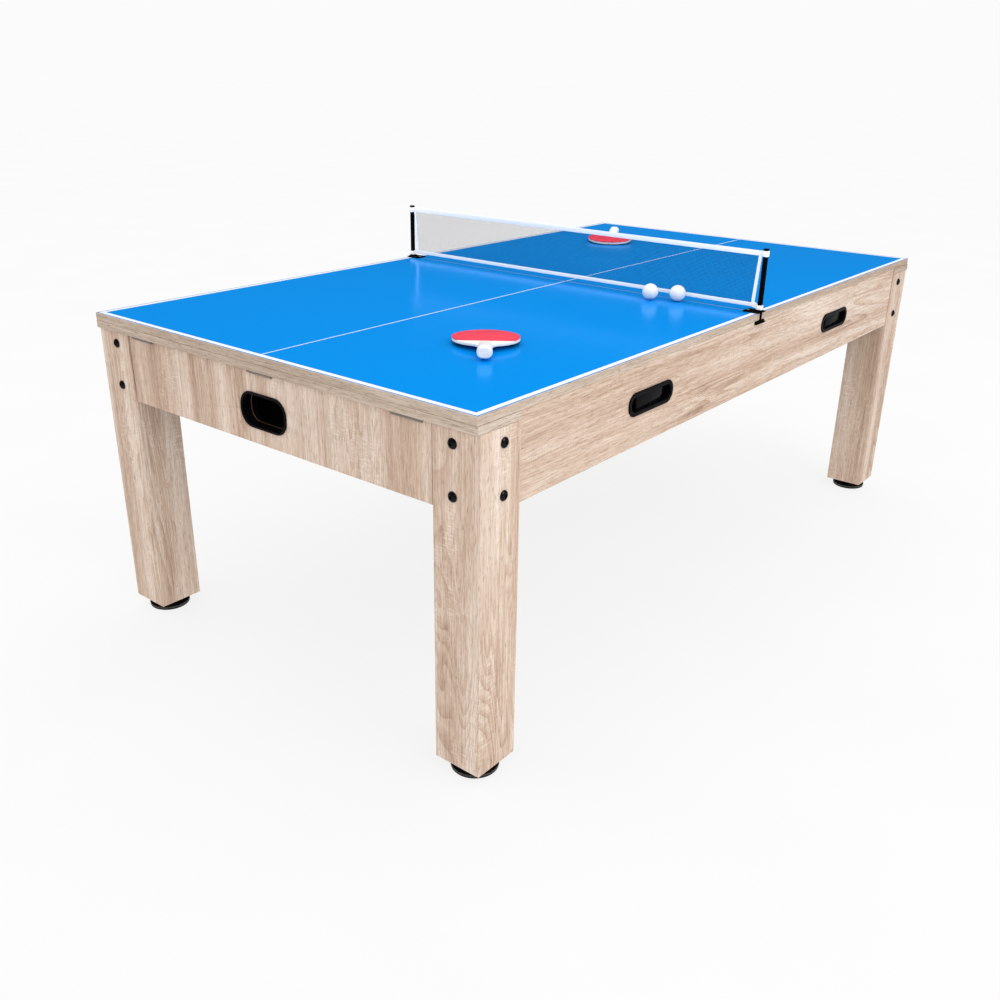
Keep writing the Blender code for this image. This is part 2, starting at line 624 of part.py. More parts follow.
def barrel_outline(leaf_low, leaf_high):
    """Section of a rolled hinge leaf, from its tip round the barrel and back."""
    start = math.asin(leaf_high / HINGE_RADIUS)
    stop = 2 * math.pi + math.asin(leaf_low / HINGE_RADIUS)
    points = [(HINGE_LEAF_REACH, leaf_high)]
    for step in range(HINGE_SEGMENTS + 1):
        angle = start + (stop - start) * step / HINGE_SEGMENTS
        points.append((HINGE_RADIUS * math.cos(angle), HINGE_RADIUS * math.sin(angle)))
    points.append((HINGE_LEAF_REACH, leaf_low))
    return points


def hinge_leaf(name, y, leaf_low, leaf_high):
    outline = barrel_outline(leaf_low, leaf_high)
    half = HINGE_LENGTH / 2
    shape = prism_mesh(outline, lambda x, z: (HINGE_X + x, y - half, HINGE_Z + z),
                       lambda x, z: (HINGE_X + x, y + half, HINGE_Z + z))
    return place(name, shape, steel(), (HINGE_X, y, HINGE_Z))


def pin_mesh(y, half, radius):
    turn = Matrix.Translation((HINGE_X, y, HINGE_Z)) @ Matrix.Rotation(math.pi / 2, 4, 'X')
    return turned_mesh([(0.0, -half), (radius, -half), (radius, half), (0.0, half)], HINGE_SEGMENTS // 2, turn)


def make_fixed_leaf(name, y):
    """Leaf under the end rail, with the two outer knuckles and the pin."""
    leaf = hinge_leaf(name, y, HINGE_RADIUS - HINGE_LEAF, HINGE_RADIUS - HINGE_LEAF_DROP)
    reach = HINGE_RADIUS + HINGE_CUT_CLEARANCE
    cut_box(leaf, "middle", (HINGE_X - LEDGE, y - HINGE_MIDDLE / 2, HINGE_Z - LEDGE),
            (HINGE_X + reach, y + HINGE_MIDDLE / 2, HINGE_Z + LEDGE))
    pin = place(f"{name}_pin", pin_mesh(y, HINGE_PIN_LENGTH / 2, HINGE_PIN_RADIUS), steel())
    return combine(leaf, pin, 'UNION')


def make_moving_leaf(name, y):
    """Leaf on the flap's top edge, with the middle knuckle bored for the pin."""
    leaf = hinge_leaf(name, y, 0.0, HINGE_LEAF)
    reach = HINGE_RADIUS + HINGE_CUT_CLEARANCE
    for sign in (-1, 1):
        near = y + sign * (HINGE_MIDDLE / 2 - GAP)
        far = y + sign * HINGE_LENGTH
        cut_box(leaf, f"side_{sign}", (HINGE_X - LEDGE, near, HINGE_Z - LEDGE),
                (HINGE_X + reach, far, HINGE_Z + LEDGE))
    bore = place(f"{name}_bore", pin_mesh(y, HINGE_LENGTH, HINGE_PIN_RADIUS + HINGE_PIN_CLEARANCE), steel())
    return combine(leaf, bore, 'DIFFERENCE')


def make_bed(name):
    """Slate-like bed, notched at its corners and round the pockets."""
    bed = place(name, box_mesh((-BED_X, -BED_Y, BED_Z), (BED_X, BED_Y, BED_TOP_Z)),
                material("bed_board", (0.30, 0.30, 0.29), 0.8), (0.0, 0.0, BED_Z))
    notch_x = CORNER_X - POCKET_HOLE + BED_NOTCH_OVERLAP
    for sx in (-1, 1):
        for sy in (-1, 1):
            cut_box(bed, f"corner_{sx}_{sy}", (sx * notch_x, sy * CORNER_Y, BED_Z - LEDGE),
                    (sx * (BED_X + LEDGE), sy * (BED_Y + LEDGE), BED_TOP_Z + LEDGE))
    cut_pockets(bed, BED_Z - LEDGE, BED_TOP_Z + LEDGE, POCKETS)
    return bed


def make_cloth(name):
    """Bed cloth, held at its edges under the rail ribs."""
    x = RAIL_IN_X + CLOTH_UNDER_RAIL
    y = RAIL_IN_Y + CLOTH_UNDER_RAIL
    cloth = place(name, box_mesh((-x, -y, BED_TOP_Z + GAP), (x, y, CLOTH_TOP_Z)),
                  material("blue_cloth", (0.02, 0.12, 0.42), 0.95), (0.0, 0.0, BED_TOP_Z))
    cut_pockets(cloth, BED_Z, CLOTH_TOP_Z + LEDGE, POCKETS)
    return cloth


def cushion_outline():
    """Section of a cushion as (out from the rail, above the cloth)."""
    top = RAIL_TOP_Z - CLOTH_TOP_Z - CUSHION_TOP_DROP
    return [(0.0, CUSHION_LIFT), (CUSHION_FOOT, CUSHION_LIFT),
            (CUSHION_DEPTH - CUSHION_NOSE_BACK, CUSHION_NOSE_HEIGHT - CUSHION_NOSE_BELOW),
            (CUSHION_DEPTH, CUSHION_NOSE_HEIGHT),
            (CUSHION_DEPTH - CUSHION_NOSE_ABOVE, CUSHION_NOSE_HEIGHT + CUSHION_NOSE_ABOVE), (0.0, top)]


def make_long_cushion(name, sx, sy):
    """Cushion from a side pocket to a corner pocket, on the long rail."""
    back = RAIL_IN_Y - GAP
    start = SIDE_JAW_ALONG
    stop = CORNER_X - CORNER_JAW_ALONG
    shape = prism_mesh(cushion_outline(),
                       lambda d, z: (sx * (start + d * SIDE_JAW_SLOPE), sy * (back - d), CLOTH_TOP_Z + z),
                       lambda d, z: (sx * (stop - d * CORNER_JAW_SLOPE), sy * (back - d), CLOTH_TOP_Z + z))
    return place(name, shape, cushion_cloth(), (0.0, sy * back, CLOTH_TOP_Z))


def make_end_cushion(name, sx):
    """Cushion between two corner pockets, on the end rail."""
    back = RAIL_IN_X - GAP
    half = CORNER_Y - CORNER_JAW_ALONG
    shape = prism_mesh(cushion_outline(),
                       lambda d, z: (sx * (back - d), -half + d * CORNER_JAW_SLOPE, CLOTH_TOP_Z + z),
                       lambda d, z: (sx * (back - d), half - d * CORNER_JAW_SLOPE, CLOTH_TOP_Z + z))
    return place(name, shape, cushion_cloth(), (sx * back, 0.0, CLOTH_TOP_Z))


def make_pocket(name, centre, facing):
    """Drop pocket with its flange under the bed and its mouth open to the cloth."""
    low = BED_Z - POCKET_BELOW_BED
    high = RAIL_TOP_Z - GAP
    flange_low = BED_REST_Z - POCKET_FLANGE_THICKNESS
    profile = [(POCKET_RADIUS, low), (POCKET_OUTER, low), (POCKET_OUTER, flange_low),
               (POCKET_REACH, flange_low), (POCKET_REACH, BED_REST_Z), (POCKET_OUTER, BED_REST_Z),
               (POCKET_OUTER, high), (POCKET_RADIUS, high)]
    pocket = place(name, turned_mesh(profile, POCKET_SEGMENTS, Matrix.Translation((*centre, 0.0)), ring=True),
                   black_plastic(), (*centre, BED_TOP_Z))
    half = POCKET_RADIUS - POCKET_MOUTH_LIP
    mouth = box_mesh((0.0, -half, CLOTH_TOP_Z), (2 * POCKET_RADIUS, half, TOP_Z + LEDGE))
    turn = Matrix.Translation((*centre, 0.0)) @ Matrix.Rotation(facing, 4, 'Z')
    bmesh.ops.transform(mouth, matrix=turn, verts=mouth.verts)
    return combine(pocket, place(f"{name}_mouth", mouth, black_plastic()), 'DIFFERENCE')


def make_beam(name, x):
    """Cross beam between the ledges, shallow at its ends to clear the gullies."""
    tip = APRON_IN_Y - LEDGE - JOINT_GAP
    shoulder = CORNER_Y - GULLY_OUTER - LEDGE
    shallow = BED_REST_Z - LEDGE
    deep = BED_REST_Z - BEAM_DEPTH
    outline = [(tip, BED_REST_Z), (-tip, BED_REST_Z), (-tip, shallow), (-shoulder, shallow), (-shoulder, deep),
               (shoulder, deep), (shoulder, shallow), (tip, shallow)]
    half = BEAM_THICKNESS / 2
    shape = prism_mesh(outline, lambda y, z: (x - half, y, z), lambda y, z: (x + half, y, z))
    return place(name, shape, material("beam_wood", (0.50, 0.36, 0.22), 0.7), (x, 0.0, BED_REST_Z))


def gully_floor(x):
    """Inside floor height of a gully, falling evenly towards the trough."""
    high_x = CORNER_X + GULLY_END_PAST_POCKET
    share = (x - TROUGH_BACK_X) / (high_x - TROUGH_BACK_X)
    return APRON_Z + GULLY_FLOOR_LOW + share * (GULLY_FLOOR_HIGH - GULLY_FLOOR_LOW)


def make_gully(name, sy):
    """Sloping channel under three pockets, open above and at the trough end."""
    start = TROUGH_BACK_X - TROUGH_WALL - JOINT_GAP
    stop = CORNER_X + GULLY_END_PAST_POCKET
    y = sy * CORNER_Y

    def section(half, x, low, high):
        return [(x, y - half, low), (x, y + half, low), (x, y + half, high), (x, y - half, high)]

    outside = stacked_mesh([section(GULLY_OUTER, start, gully_floor(start) - GULLY_WALL, GULLY_TOP_Z),
                            section(GULLY_OUTER, stop, gully_floor(stop) - GULLY_WALL, GULLY_TOP_Z)], False)
    gully = place(name, outside, material("gully_plastic", (0.10, 0.10, 0.11), 0.5), (0.0, y, GULLY_TOP_Z))
    past = start - LEDGE
    inner_stop = stop - GULLY_WALL
    over = GULLY_TOP_Z + LEDGE
    inside = stacked_mesh([section(GULLY_WIDTH / 2, past, gully_floor(past), over),
                           section(GULLY_WIDTH / 2, inner_stop, gully_floor(inner_stop), over)], False)
    return combine(gully, place(f"{name}_channel", inside, oak()), 'DIFFERENCE')


def make_trough(name):
    """Open trough across the -X end, falling to the window in the flap."""
    low = APRON_Z + TROUGH_LIFT
    side = CORNER_Y + GULLY_OUTER + JOINT_GAP + TROUGH_WALL
    rim = low + TROUGH_HEIGHT
    trough = place(name, box_mesh((TROUGH_FRONT_X, -side, low), (TROUGH_BACK_X, side, BED_REST_Z)),
                   material("trough_board", (0.05, 0.05, 0.05), 0.6), (TROUGH_FRONT_X, 0.0, low))
    floor = low + TROUGH_FLOOR_LIFT
    inner = side - TROUGH_WALL
    over = BED_REST_Z + LEDGE
    outline = [(-inner, floor + TROUGH_FLOOR_FALL), (0.0, floor), (inner, floor + TROUGH_FLOOR_FALL),
               (inner, over), (-inner, over)]
    front = TROUGH_FRONT_X + TROUGH_WALL
    back = TROUGH_BACK_X - TROUGH_WALL
    hollow = prism_mesh(outline, lambda y, z: (front, y, z), lambda y, z: (back, y, z))
    combine(trough, place(f"{name}_hollow", hollow, oak()), 'DIFFERENCE')
    cut_box(trough, "rim", (TROUGH_FRONT_X - LEDGE, -side - LEDGE, rim), (back - JOINT_GAP, side + LEDGE, over))
    window = WINDOW_WIDTH / 2 + TROUGH_WINDOW_MARGIN
    cut_box(trough, "window", (TROUGH_FRONT_X - LEDGE, -window, low + TROUGH_WINDOW_LIP),
            (front + JOINT_GAP, window, over))
    fixing = CORNER_Y - GULLY_OUTER - 3 * LEDGE
    for sy in (-1, 1):
        cut_box(trough, f"back_{sy}", (back - 2 * JOINT_GAP, sy * fixing, rim - JOINT_GAP),
                (TROUGH_BACK_X + LEDGE, sy * (side + LEDGE), over))
        slot_low = gully_floor(back) - GULLY_WALL - 2 * JOINT_GAP
        slot_y = CORNER_Y - GULLY_OUTER - JOINT_GAP
        cut_box(trough, f"slot_{sy}", (back - 3 * JOINT_GAP, sy * slot_y, slot_low),
                (TROUGH_BACK_X + LEDGE, sy * (inner - JOINT_GAP), over))
    return trough


def make_top(name, sx):
    """One half of the table-tennis top."""
    shape = box_mesh((sx * SEAM / 2, -HALF_Y, TOP_Z), (sx * HALF_X, HALF_Y, HEIGHT), TOP_EDGE_ROUND)
    return place(name, shape, material("blue_top", (0.0, 0.26, 0.87), 0.25), (sx * SEAM / 2, 0.0, TOP_Z))


def post_y():
    return HALF_Y - POST_SIDE / 2 + CLIP_OVERHANG - POST_INSET


def make_net_post(name, sy):
    """Square post on a spring clip that grips both half tops at the seam."""
    plate_low = HEIGHT + GAP
    plate_high = plate_low + CLIP_THICKNESS
    outer = HALF_Y + CLIP_OVERHANG
    along = CLIP_PLATE_ALONG / 2
    plate = box_mesh((-along, sy * (outer - CLIP_PLATE_ACROSS), plate_low), (along, sy * outer, plate_high))
    post = place(name, plate, black_plastic(), (0.0, sy * outer, plate_low))
    web = box_mesh((-CLIP_WEB / 2, sy * (HALF_Y + GAP), TOP_Z - GAP - CLIP_JAW_THICKNESS / 2),
                   (CLIP_WEB / 2, sy * (HALF_Y + GAP + CLIP_THICKNESS), plate_low + CLIP_THICKNESS / 2))
    combine(post, place(f"{name}_web", web, black_plastic()), 'UNION')
    jaw = box_mesh((-CLIP_JAW_ALONG / 2, sy * (APRON_IN_Y + JOINT_GAP), TOP_Z - GAP - CLIP_JAW_THICKNESS),
                   (CLIP_JAW_ALONG / 2, sy * outer, TOP_Z - GAP))
    combine(post, place(f"{name}_jaw", jaw, black_plastic()), 'UNION')
    half = POST_SIDE / 2
    column = box_mesh((-half, sy * (post_y() - half), plate_low + CLIP_THICKNESS / 2),
                      (half, sy * (post_y() + half), HEIGHT + POST_HEIGHT))
    return combine(post, place(f"{name}_column", column, black_plastic()), 'UNION')


def make_net(name):
    """Net with its tapes, as one thin sheet that reaches the posts at top and foot."""
    side = post_y() - POST_SIDE / 2 - GAP
    inset = side - NET_SIDE_INSET
    low = HEIGHT + NET_LIFT
    high = HEIGHT + NET_HEIGHT
    foot = HEIGHT + GAP + CLIP_THICKNESS + GAP
    right = [(inset - NET_TAPE, low), (side, foot), (side, foot + NET_STRAP), (inset, low + NET_TAPE),
             (inset, high - NET_TAPE), (side, high - NET_TAPE), (side, high)]
    left = [(-y, z) for y, z in reversed(right)]
    half = NET_THICKNESS / 2
    shape = prism_mesh(right + left, lambda y, z: (-half, y, z), lambda y, z: (half, y, z))
    return place(name, shape, material("net_white", (0.85, 0.87, 0.90), 0.8), (0.0, 0.0, low))


def make_bat(name, centre, heading):
    """Bat lying on the handle's root and the blade's far edge, rubber up."""
    middle = HANDLE_HEIGHT / 2
    blade_low = middle - BLADE_THICKNESS / 2
    blade_high = middle + BLADE_THICKNESS / 2
    outline = []
    for step in range(BLADE_SEGMENTS):
        angle = 2 * math.pi * step / BLADE_SEGMENTS
        outline.append((BLADE_LENGTH / 2 * math.cos(angle), BLADE_WIDTH / 2 * math.sin(angle)))
    blade = prism_mesh(outline, lambda x, y: (x, y, blade_low), lambda x, y: (x, y, blade_high))
    section = rounded_rectangle(HANDLE_WIDTH, HANDLE_HEIGHT, HANDLE_CORNER, HANDLE_STEPS)
    handle = prism_mesh(section,
                        lambda y, z: (HANDLE_ROOT, y * HANDLE_ROOT_SCALE, middle + z * HANDLE_ROOT_SCALE),
                        lambda y, z: (HANDLE_ROOT + HANDLE_LENGTH, y, middle + z))
    root_low = middle - HANDLE_HEIGHT / 2 * HANDLE_ROOT_SCALE
    tilt = -math.atan2(blade_low - root_low, BLADE_LENGTH / 2 + HANDLE_ROOT)
    lie = Matrix.Rotation(tilt, 4, 'Y') @ Matrix.Translation((-HANDLE_ROOT, 0.0, -root_low))
    lie = Matrix.Translation((HANDLE_ROOT, 0.0, 0.0)) @ lie
    seat = Matrix.Translation((*centre, HEIGHT + GAP)) @ Matrix.Rotation(math.radians(heading), 4, 'Z') @ lie
    for shape in (blade, handle):
        bmesh.ops.transform(shape, matrix=seat, verts=shape.verts)
    bat = place(name, blade, material("bat_red", (0.75, 0.03, 0.07), 0.6), (*centre, HEIGHT))
    return combine(bat, place(f"{name}_handle", handle, oak()), 'UNION')


def make_ball(name, centre):
    """Forty-millimetre ball on the half top."""
    shape = bmesh.new()
    bmesh.ops.create_uvsphere(shape, u_segments=BALL_SEGMENTS, v_segments=BALL_RINGS, radius=BALL_RADIUS)
    middle = (*centre, HEIGHT + GAP + BALL_RADIUS)
    bmesh.ops.translate(shape, verts=shape.verts, vec=middle)
    return place(name, shape, material("ball_white", (0.9, 0.9, 0.9), 0.3), middle, smooth=True)


def build_frame():
    for end, sx in ENDS.items():
        for side, sy in SIDES.items():
            make_leg(f"leg_{end}_{side}", sx, sy)
            make_foot(f"foot_{end}_{side}", sx, sy)
            make_bracket(f"corner_bolts_{end}_{side}", sx, sy)
        make_end_rail(f"end_rail_{end}", sx)
    for side, sy in SIDES.items():
        make_long_apron(f"apron_{side}", sy)
        make_long_rail(f"long_rail_{side}", sy)
        for end, sx in ENDS.items():
            make_tray(f"tray_{side}_{end}", sx, sy)
    make_end_apron("apron_rear")


def build_flap():
    make_flap("ball_flap")
    make_window("ball_window")
    for label, y in (("left", HINGE_Y), ("middle", 0.0), ("right", -HINGE_Y)):
        make_fixed_leaf(f"hinge_fixed_{label}", y)
        make_moving_leaf(f"hinge_moving_{label}", y)


def build_playing_bed():
    make_bed("bed")
    make_cloth("bed_cloth")
    for label, sx in (("front", -1), ("rear", 1)):
        make_beam(f"bed_beam_{label}", sx * BEAM_X)
        make_end_cushion(f"cushion_{label}_end", sx)
        for side, sy in SIDES.items():
            make_long_cushion(f"cushion_{side}_{label}", sx, sy)
            inward = math.atan2(-sy, -sx)
            make_pocket(f"pocket_{label}_{side}", (sx * CORNER_X, sy * CORNER_Y), inward)
    for side, sy in SIDES.items():
        make_pocket(f"pocket_middle_{side}", (0.0, sy * SIDE_POCKET_Y), -sy * math.pi / 2)
        make_gully(f"gully_{side}", sy)
    make_trough("ball_trough")


def build_tennis_top():
    for end, sx in ENDS.items():
        make_top(f"tennis_top_{end}", sx)
    for side, sy in SIDES.items():
        make_net_post(f"net_post_{side}", sy)
    make_net("net")
    for name, (centre, heading) in BATS.items():
        make_bat(name, centre, heading)
    for name, centre in BALLS.items():
        make_ball(name, centre)


for old in list(bpy.data.objects):
    bpy.data.objects.remove(old, do_unlink=True)
build_frame()
build_flap()
build_playing_bed()
build_tennis_top()
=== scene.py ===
"""Looks of the seven-foot pool table wearing its table-tennis top.

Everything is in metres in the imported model's own frame: the front end with the ball
window faces -X, the left side faces +Y, and the floor is at zero height.
"""
import math

import bmesh
import bpy
from mathutils import Matrix, Vector


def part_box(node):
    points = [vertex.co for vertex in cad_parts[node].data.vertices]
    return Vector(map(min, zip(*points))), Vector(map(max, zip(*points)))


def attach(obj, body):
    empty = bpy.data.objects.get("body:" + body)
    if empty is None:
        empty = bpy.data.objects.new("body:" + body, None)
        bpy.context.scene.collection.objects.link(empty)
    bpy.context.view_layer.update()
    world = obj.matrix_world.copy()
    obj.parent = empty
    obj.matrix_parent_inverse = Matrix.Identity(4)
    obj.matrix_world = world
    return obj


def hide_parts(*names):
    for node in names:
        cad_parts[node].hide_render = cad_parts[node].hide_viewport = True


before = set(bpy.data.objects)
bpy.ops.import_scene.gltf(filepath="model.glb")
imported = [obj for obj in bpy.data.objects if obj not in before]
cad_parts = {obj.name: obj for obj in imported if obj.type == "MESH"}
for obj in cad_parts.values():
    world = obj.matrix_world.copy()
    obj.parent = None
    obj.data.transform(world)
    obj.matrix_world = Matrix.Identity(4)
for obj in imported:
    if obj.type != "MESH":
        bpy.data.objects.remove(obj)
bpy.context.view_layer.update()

# Camera
CAMERA_PLACE = (-2.283, -1.602, 1.298)
CAMERA_YAW = 38.57
CAMERA_PITCH = 23.09
CAMERA_ROLL = 0.92
CAMERA_LENS = 36.16

# White surround: as seen, as a soft light, and as polished faces mirror it
SURROUND_SEEN = 0.965
SURROUND_LIGHT = 1.22
SURROUND_MIRRORED = 0.05
FLOOR_GLOW = 0.815
FLOOR_MIRRORED = 0.10
FLOOR_REACH = 90.0
# Each lamp's place, size and power, and the point that they face
LAMPS = {
    "key_lamp": ((-0.6, -4.2, 3.6), 3.0, 60.0),
    "top_lamp": ((0.3, 0.4, 4.5), 3.5, 30.0),
}
LAMP_AIM = Vector((0.0, 0.0, 0.5))

# Finishes: the range that nearly all of a noise lies in, and the oak's rings and saw marks
NOISE_SPAN = (0.3, 0.7)
RINGS_PER_HILL = 34.0
SAW_SLANT = (0.16, 0.16, 0.16)

# Sizes of the parts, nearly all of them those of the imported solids
GAP = 0.0003
LEG_FACE_X = 1.058
LEG_FACE_Y = 0.582
LEG_WALL = 0.018
BOLT_INSET = 0.064
BOLT_HEIGHTS = (0.706, 0.606)
BRACKET_THICKNESS = 0.003
BRACKET_ROUND = 0.0006
BOLT_SIZES = {
    "Head Radius": 0.0105, "Head Height": 0.0055, "Socket Radius": 0.0040, "Shank Radius": 0.004,
    "Grip": LEG_WALL + 2 * GAP + BRACKET_THICKNESS, "Nut Radius": 0.0075, "Nut Height": 0.006,
}
BOARD_EASE = 0.0006
TRAY_Z = 0.670
WINDOW_Z = 0.648
FLANGE = 0.0025
TRAY_SIZE = (0.178, 0.052, 0.025)
TRAY_RIM = 0.010
TRAY_FLOOR = 0.015
TRAY_BACK = 0.0175
TRAY_PLATE_LENGTH = 0.104
TRAY_PLATE_DROP = 0.004
WINDOW_SIZE = (0.144, 0.078, 0.034)
WINDOW_RIM = 0.006
WINDOW_DEPTH = 0.034
TRIM_DEPTHS = (0.0205, 0.0228)
SPLIT_DEPTH = 0.0007
FOOT_HUB_RADIUS = 0.027
FOOT_TOP = 0.0257
FOOT_STEM_RADIUS = 0.005
STEM_START = 0.0250
THREAD_START = 0.0270
SCREW_PITCH = 0.0012
RIB_COUNT = 120
RIB_MIDDLE = 0.0068
RIB_DEPTH = 0.0004
RIB_HEIGHT = 0.0050
POCKET_RADIUS = 0.050
POCKET_WALL = 0.003
POCKET_FLANGE = 0.006
POCKET_MOUTH = 0.084
STUD_RADIUS = 0.004
SIGHT_HEIGHT = 0.00012
SCREW_HEAD_HEIGHT = 0.0014
CLIP_REACH = 0.044
CLIP_THICKNESS = 0.003
CLIP_WEB = 0.006
CLIP_JAW_THICKNESS = 0.008
POST_SIDE = 0.010
NET_TAPE = 0.0118
SIDE_TAPE = 0.008
NET_HEIGHT = 0.146
NET_LIFT = 0.012
NET_SIDE_INSET = 0.011
TAPE_TOP = 0.003
TAPE_HALF = 0.0012
SIDE_TAPE_HALF = 0.0010
TIE_LIFT = 0.0066
TIE_HEIGHT = 0.011
HANDLE_ROOT = 0.052
HANDLE_ROOT_SCALE = 0.94
BLADE = (0.152, 0.145)
BLADE_THICKNESS = 0.010
RUBBER_THICKNESS = 0.0021
RUBBER_END = 0.040
HANDLE = (0.032, 0.026)
SHOULDER_START = 0.064
SHOULDER_REACH = 0.030
SHOULDER_FLARE = 0.021
# Distance from the root, share of the full width, and shares of the height above and below the middle
HANDLE_STATIONS = [
    (-0.004, 0.96, 0.34, 0.60), (0.000, 0.98, 0.36, 0.94), (0.012, 0.98, 0.40, 0.94),
    (0.024, 0.96, 0.46, 0.94), (0.040, 0.92, 0.64, 0.95), (0.058, 0.92, 0.84, 0.96),
    (0.078, 0.97, 0.97, 0.98), (0.090, 1.00, 1.00, 1.00), (0.0955, 0.97, 0.97, 0.97),
    (0.0985, 0.88, 0.88, 0.88), (0.0998, 0.74, 0.74, 0.74), (0.1000, 0.60, 0.60, 0.60),
]
# Each bat's place and its heading in degrees
BATS = {
    "bat_front": ((-0.675, -0.275), 218.5),
    "bat_rear": ((0.680, 0.300), 27.0),
}

# Printed lines and edging of the half tops
LINE_MARGIN = 0.0045
LINE_WIDTH = 0.0115
CENTRE_LINE = 0.003
EDGING = 0.0012
EDGE_BREAK = 0.0008

# Net
THREAD_PITCH = 0.0032
THREAD_WIDTH = 0.00034
STITCH_PITCH = 0.0042
STITCH_SHARE = 0.36
STITCH_RADIUS = 0.00022
STITCH_MARGIN = 0.0018

ENDS = {"front": -1, "rear": 1}
SIDES = {"left": 1, "right": -1}
UP = (0, 0, 1)
CORNERS = [(f"{end}_{side}", sx, sy) for end, sx in ENDS.items() for side, sy in SIDES.items()]
TOP_LOW, TOP_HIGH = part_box("tennis_top_front")


# --- node trees

class Tree:
    """A shader or geometry tree with short calls for adding and joining nodes."""

    def __init__(self, tree):
        self.tree = tree

    def add(self, kind, *in_order, **named):
        """Node with settings in lower case, and sockets by capitalised name or in their order."""
        node = self.tree.nodes.new(kind)
        sockets = dict(enumerate(in_order))
        for name, value in named.items():
            if name[0].isupper():
                sockets[name.replace("_", " ")] = value
            else:
                setattr(node, name, value)
        for name, value in sockets.items():
            self.feed(node.inputs[name], value)
        return node

    def feed(self, socket, value):
        if isinstance(value, bpy.types.NodeSocket):
            self.tree.links.new(value, socket)
        else:
            socket.default_value = value

    def out(self, kind, *in_order, **named):
        return self.add(kind, *in_order, **named).outputs[0]

    def maths(self, operation, a, b=0.0):
        return self.out("ShaderNodeMath", a, b, operation=operation)

    def between(self, value, low, high, to_low=0.0, to_high=1.0):
        """Value carried evenly from one range to another and held at the ends."""
        return self.out("ShaderNodeMapRange", Value=value, From_Min=low, From_Max=high, To_Min=to_low,
                        To_Max=to_high)


class Finish(Tree):
    """A surface finish: one Principled shader and what drives it."""

    def __init__(self, name, colour, roughness, **sockets):
        self.material = bpy.data.materials.new(name)
        self.material.use_nodes = True
        super().__init__(self.material.node_tree)
        self.shader = self.tree.nodes["Principled BSDF"]
        self.material.diffuse_color = (*colour, 1.0)
        self.shader.inputs["Base Color"].default_value = (*colour, 1.0)
        self.shader.inputs["Roughness"].default_value = roughness
        for socket, value in sockets.items():
            self.shader.inputs[socket.replace("_", " ")].default_value = value
        self.place = self.add("ShaderNodeTexCoord").outputs["Object"]

    def stretched(self, scale, shift=(0.0, 0.0, 0.0)):
        """Object place, shifted and then drawn out along the axes with the smaller scales."""
        moved = self.out("ShaderNodeVectorMath", self.place, shift, operation='ADD')
        return self.out("ShaderNodeVectorMath", moved, scale, operation='MULTIPLY')

    def noise(self, vector, scale, detail=2.0, roughness=0.5, distortion=0.0):
        return self.out("ShaderNodeTexNoise", Vector=vector, Scale=scale, Detail=detail, Roughness=roughness,
                        Distortion=distortion)

    def blend(self, share, first, second):
        node = self.add("ShaderNodeMix", share, data_type='RGBA')
        self.feed(node.inputs[6], first)
        self.feed(node.inputs[7], second)
        return node.outputs[2]

    def ramp(self, value, stops):
        node = self.add("ShaderNodeValToRGB", Fac=value)
        band = node.color_ramp
        while len(band.elements) < len(stops):
            band.elements.new(0.5)
        for element, (position, colour) in zip(band.elements, stops):
            element.position = position
            element.color = (*colour, 1.0)
        return node.outputs["Color"]

    def colour(self, value, *stops):
        """Base colour from a value run through stops, or straight from a colour."""
        self.feed(self.shader.inputs["Base Color"], self.ramp(value, stops) if stops else value)

    def roughness(self, noise, low, high):
        """Roughness that follows a noise from one value to another."""
        self.feed(self.shader.inputs["Roughness"], self.between(noise, *NOISE_SPAN, low, high))

    def bump(self, height, distance, strength=1.0):
        normal = self.out("ShaderNodeBump", Height=height, Distance=distance, Strength=strength)
        self.feed(self.shader.inputs["Normal"], normal)
        return self.material


def shades(*triples):
    """Colours given as screen values from 0 to 255, made linear."""
    return [tuple(((value / 255 + 0.055) / 1.055) ** 2.4 for value in triple) for triple in triples]


# --- finishes

def along(axis, slow, quick=1.0):
    """Scale that draws a pattern out along one axis."""
    return tuple(slow if axis == letter else quick for letter in "XYZ")


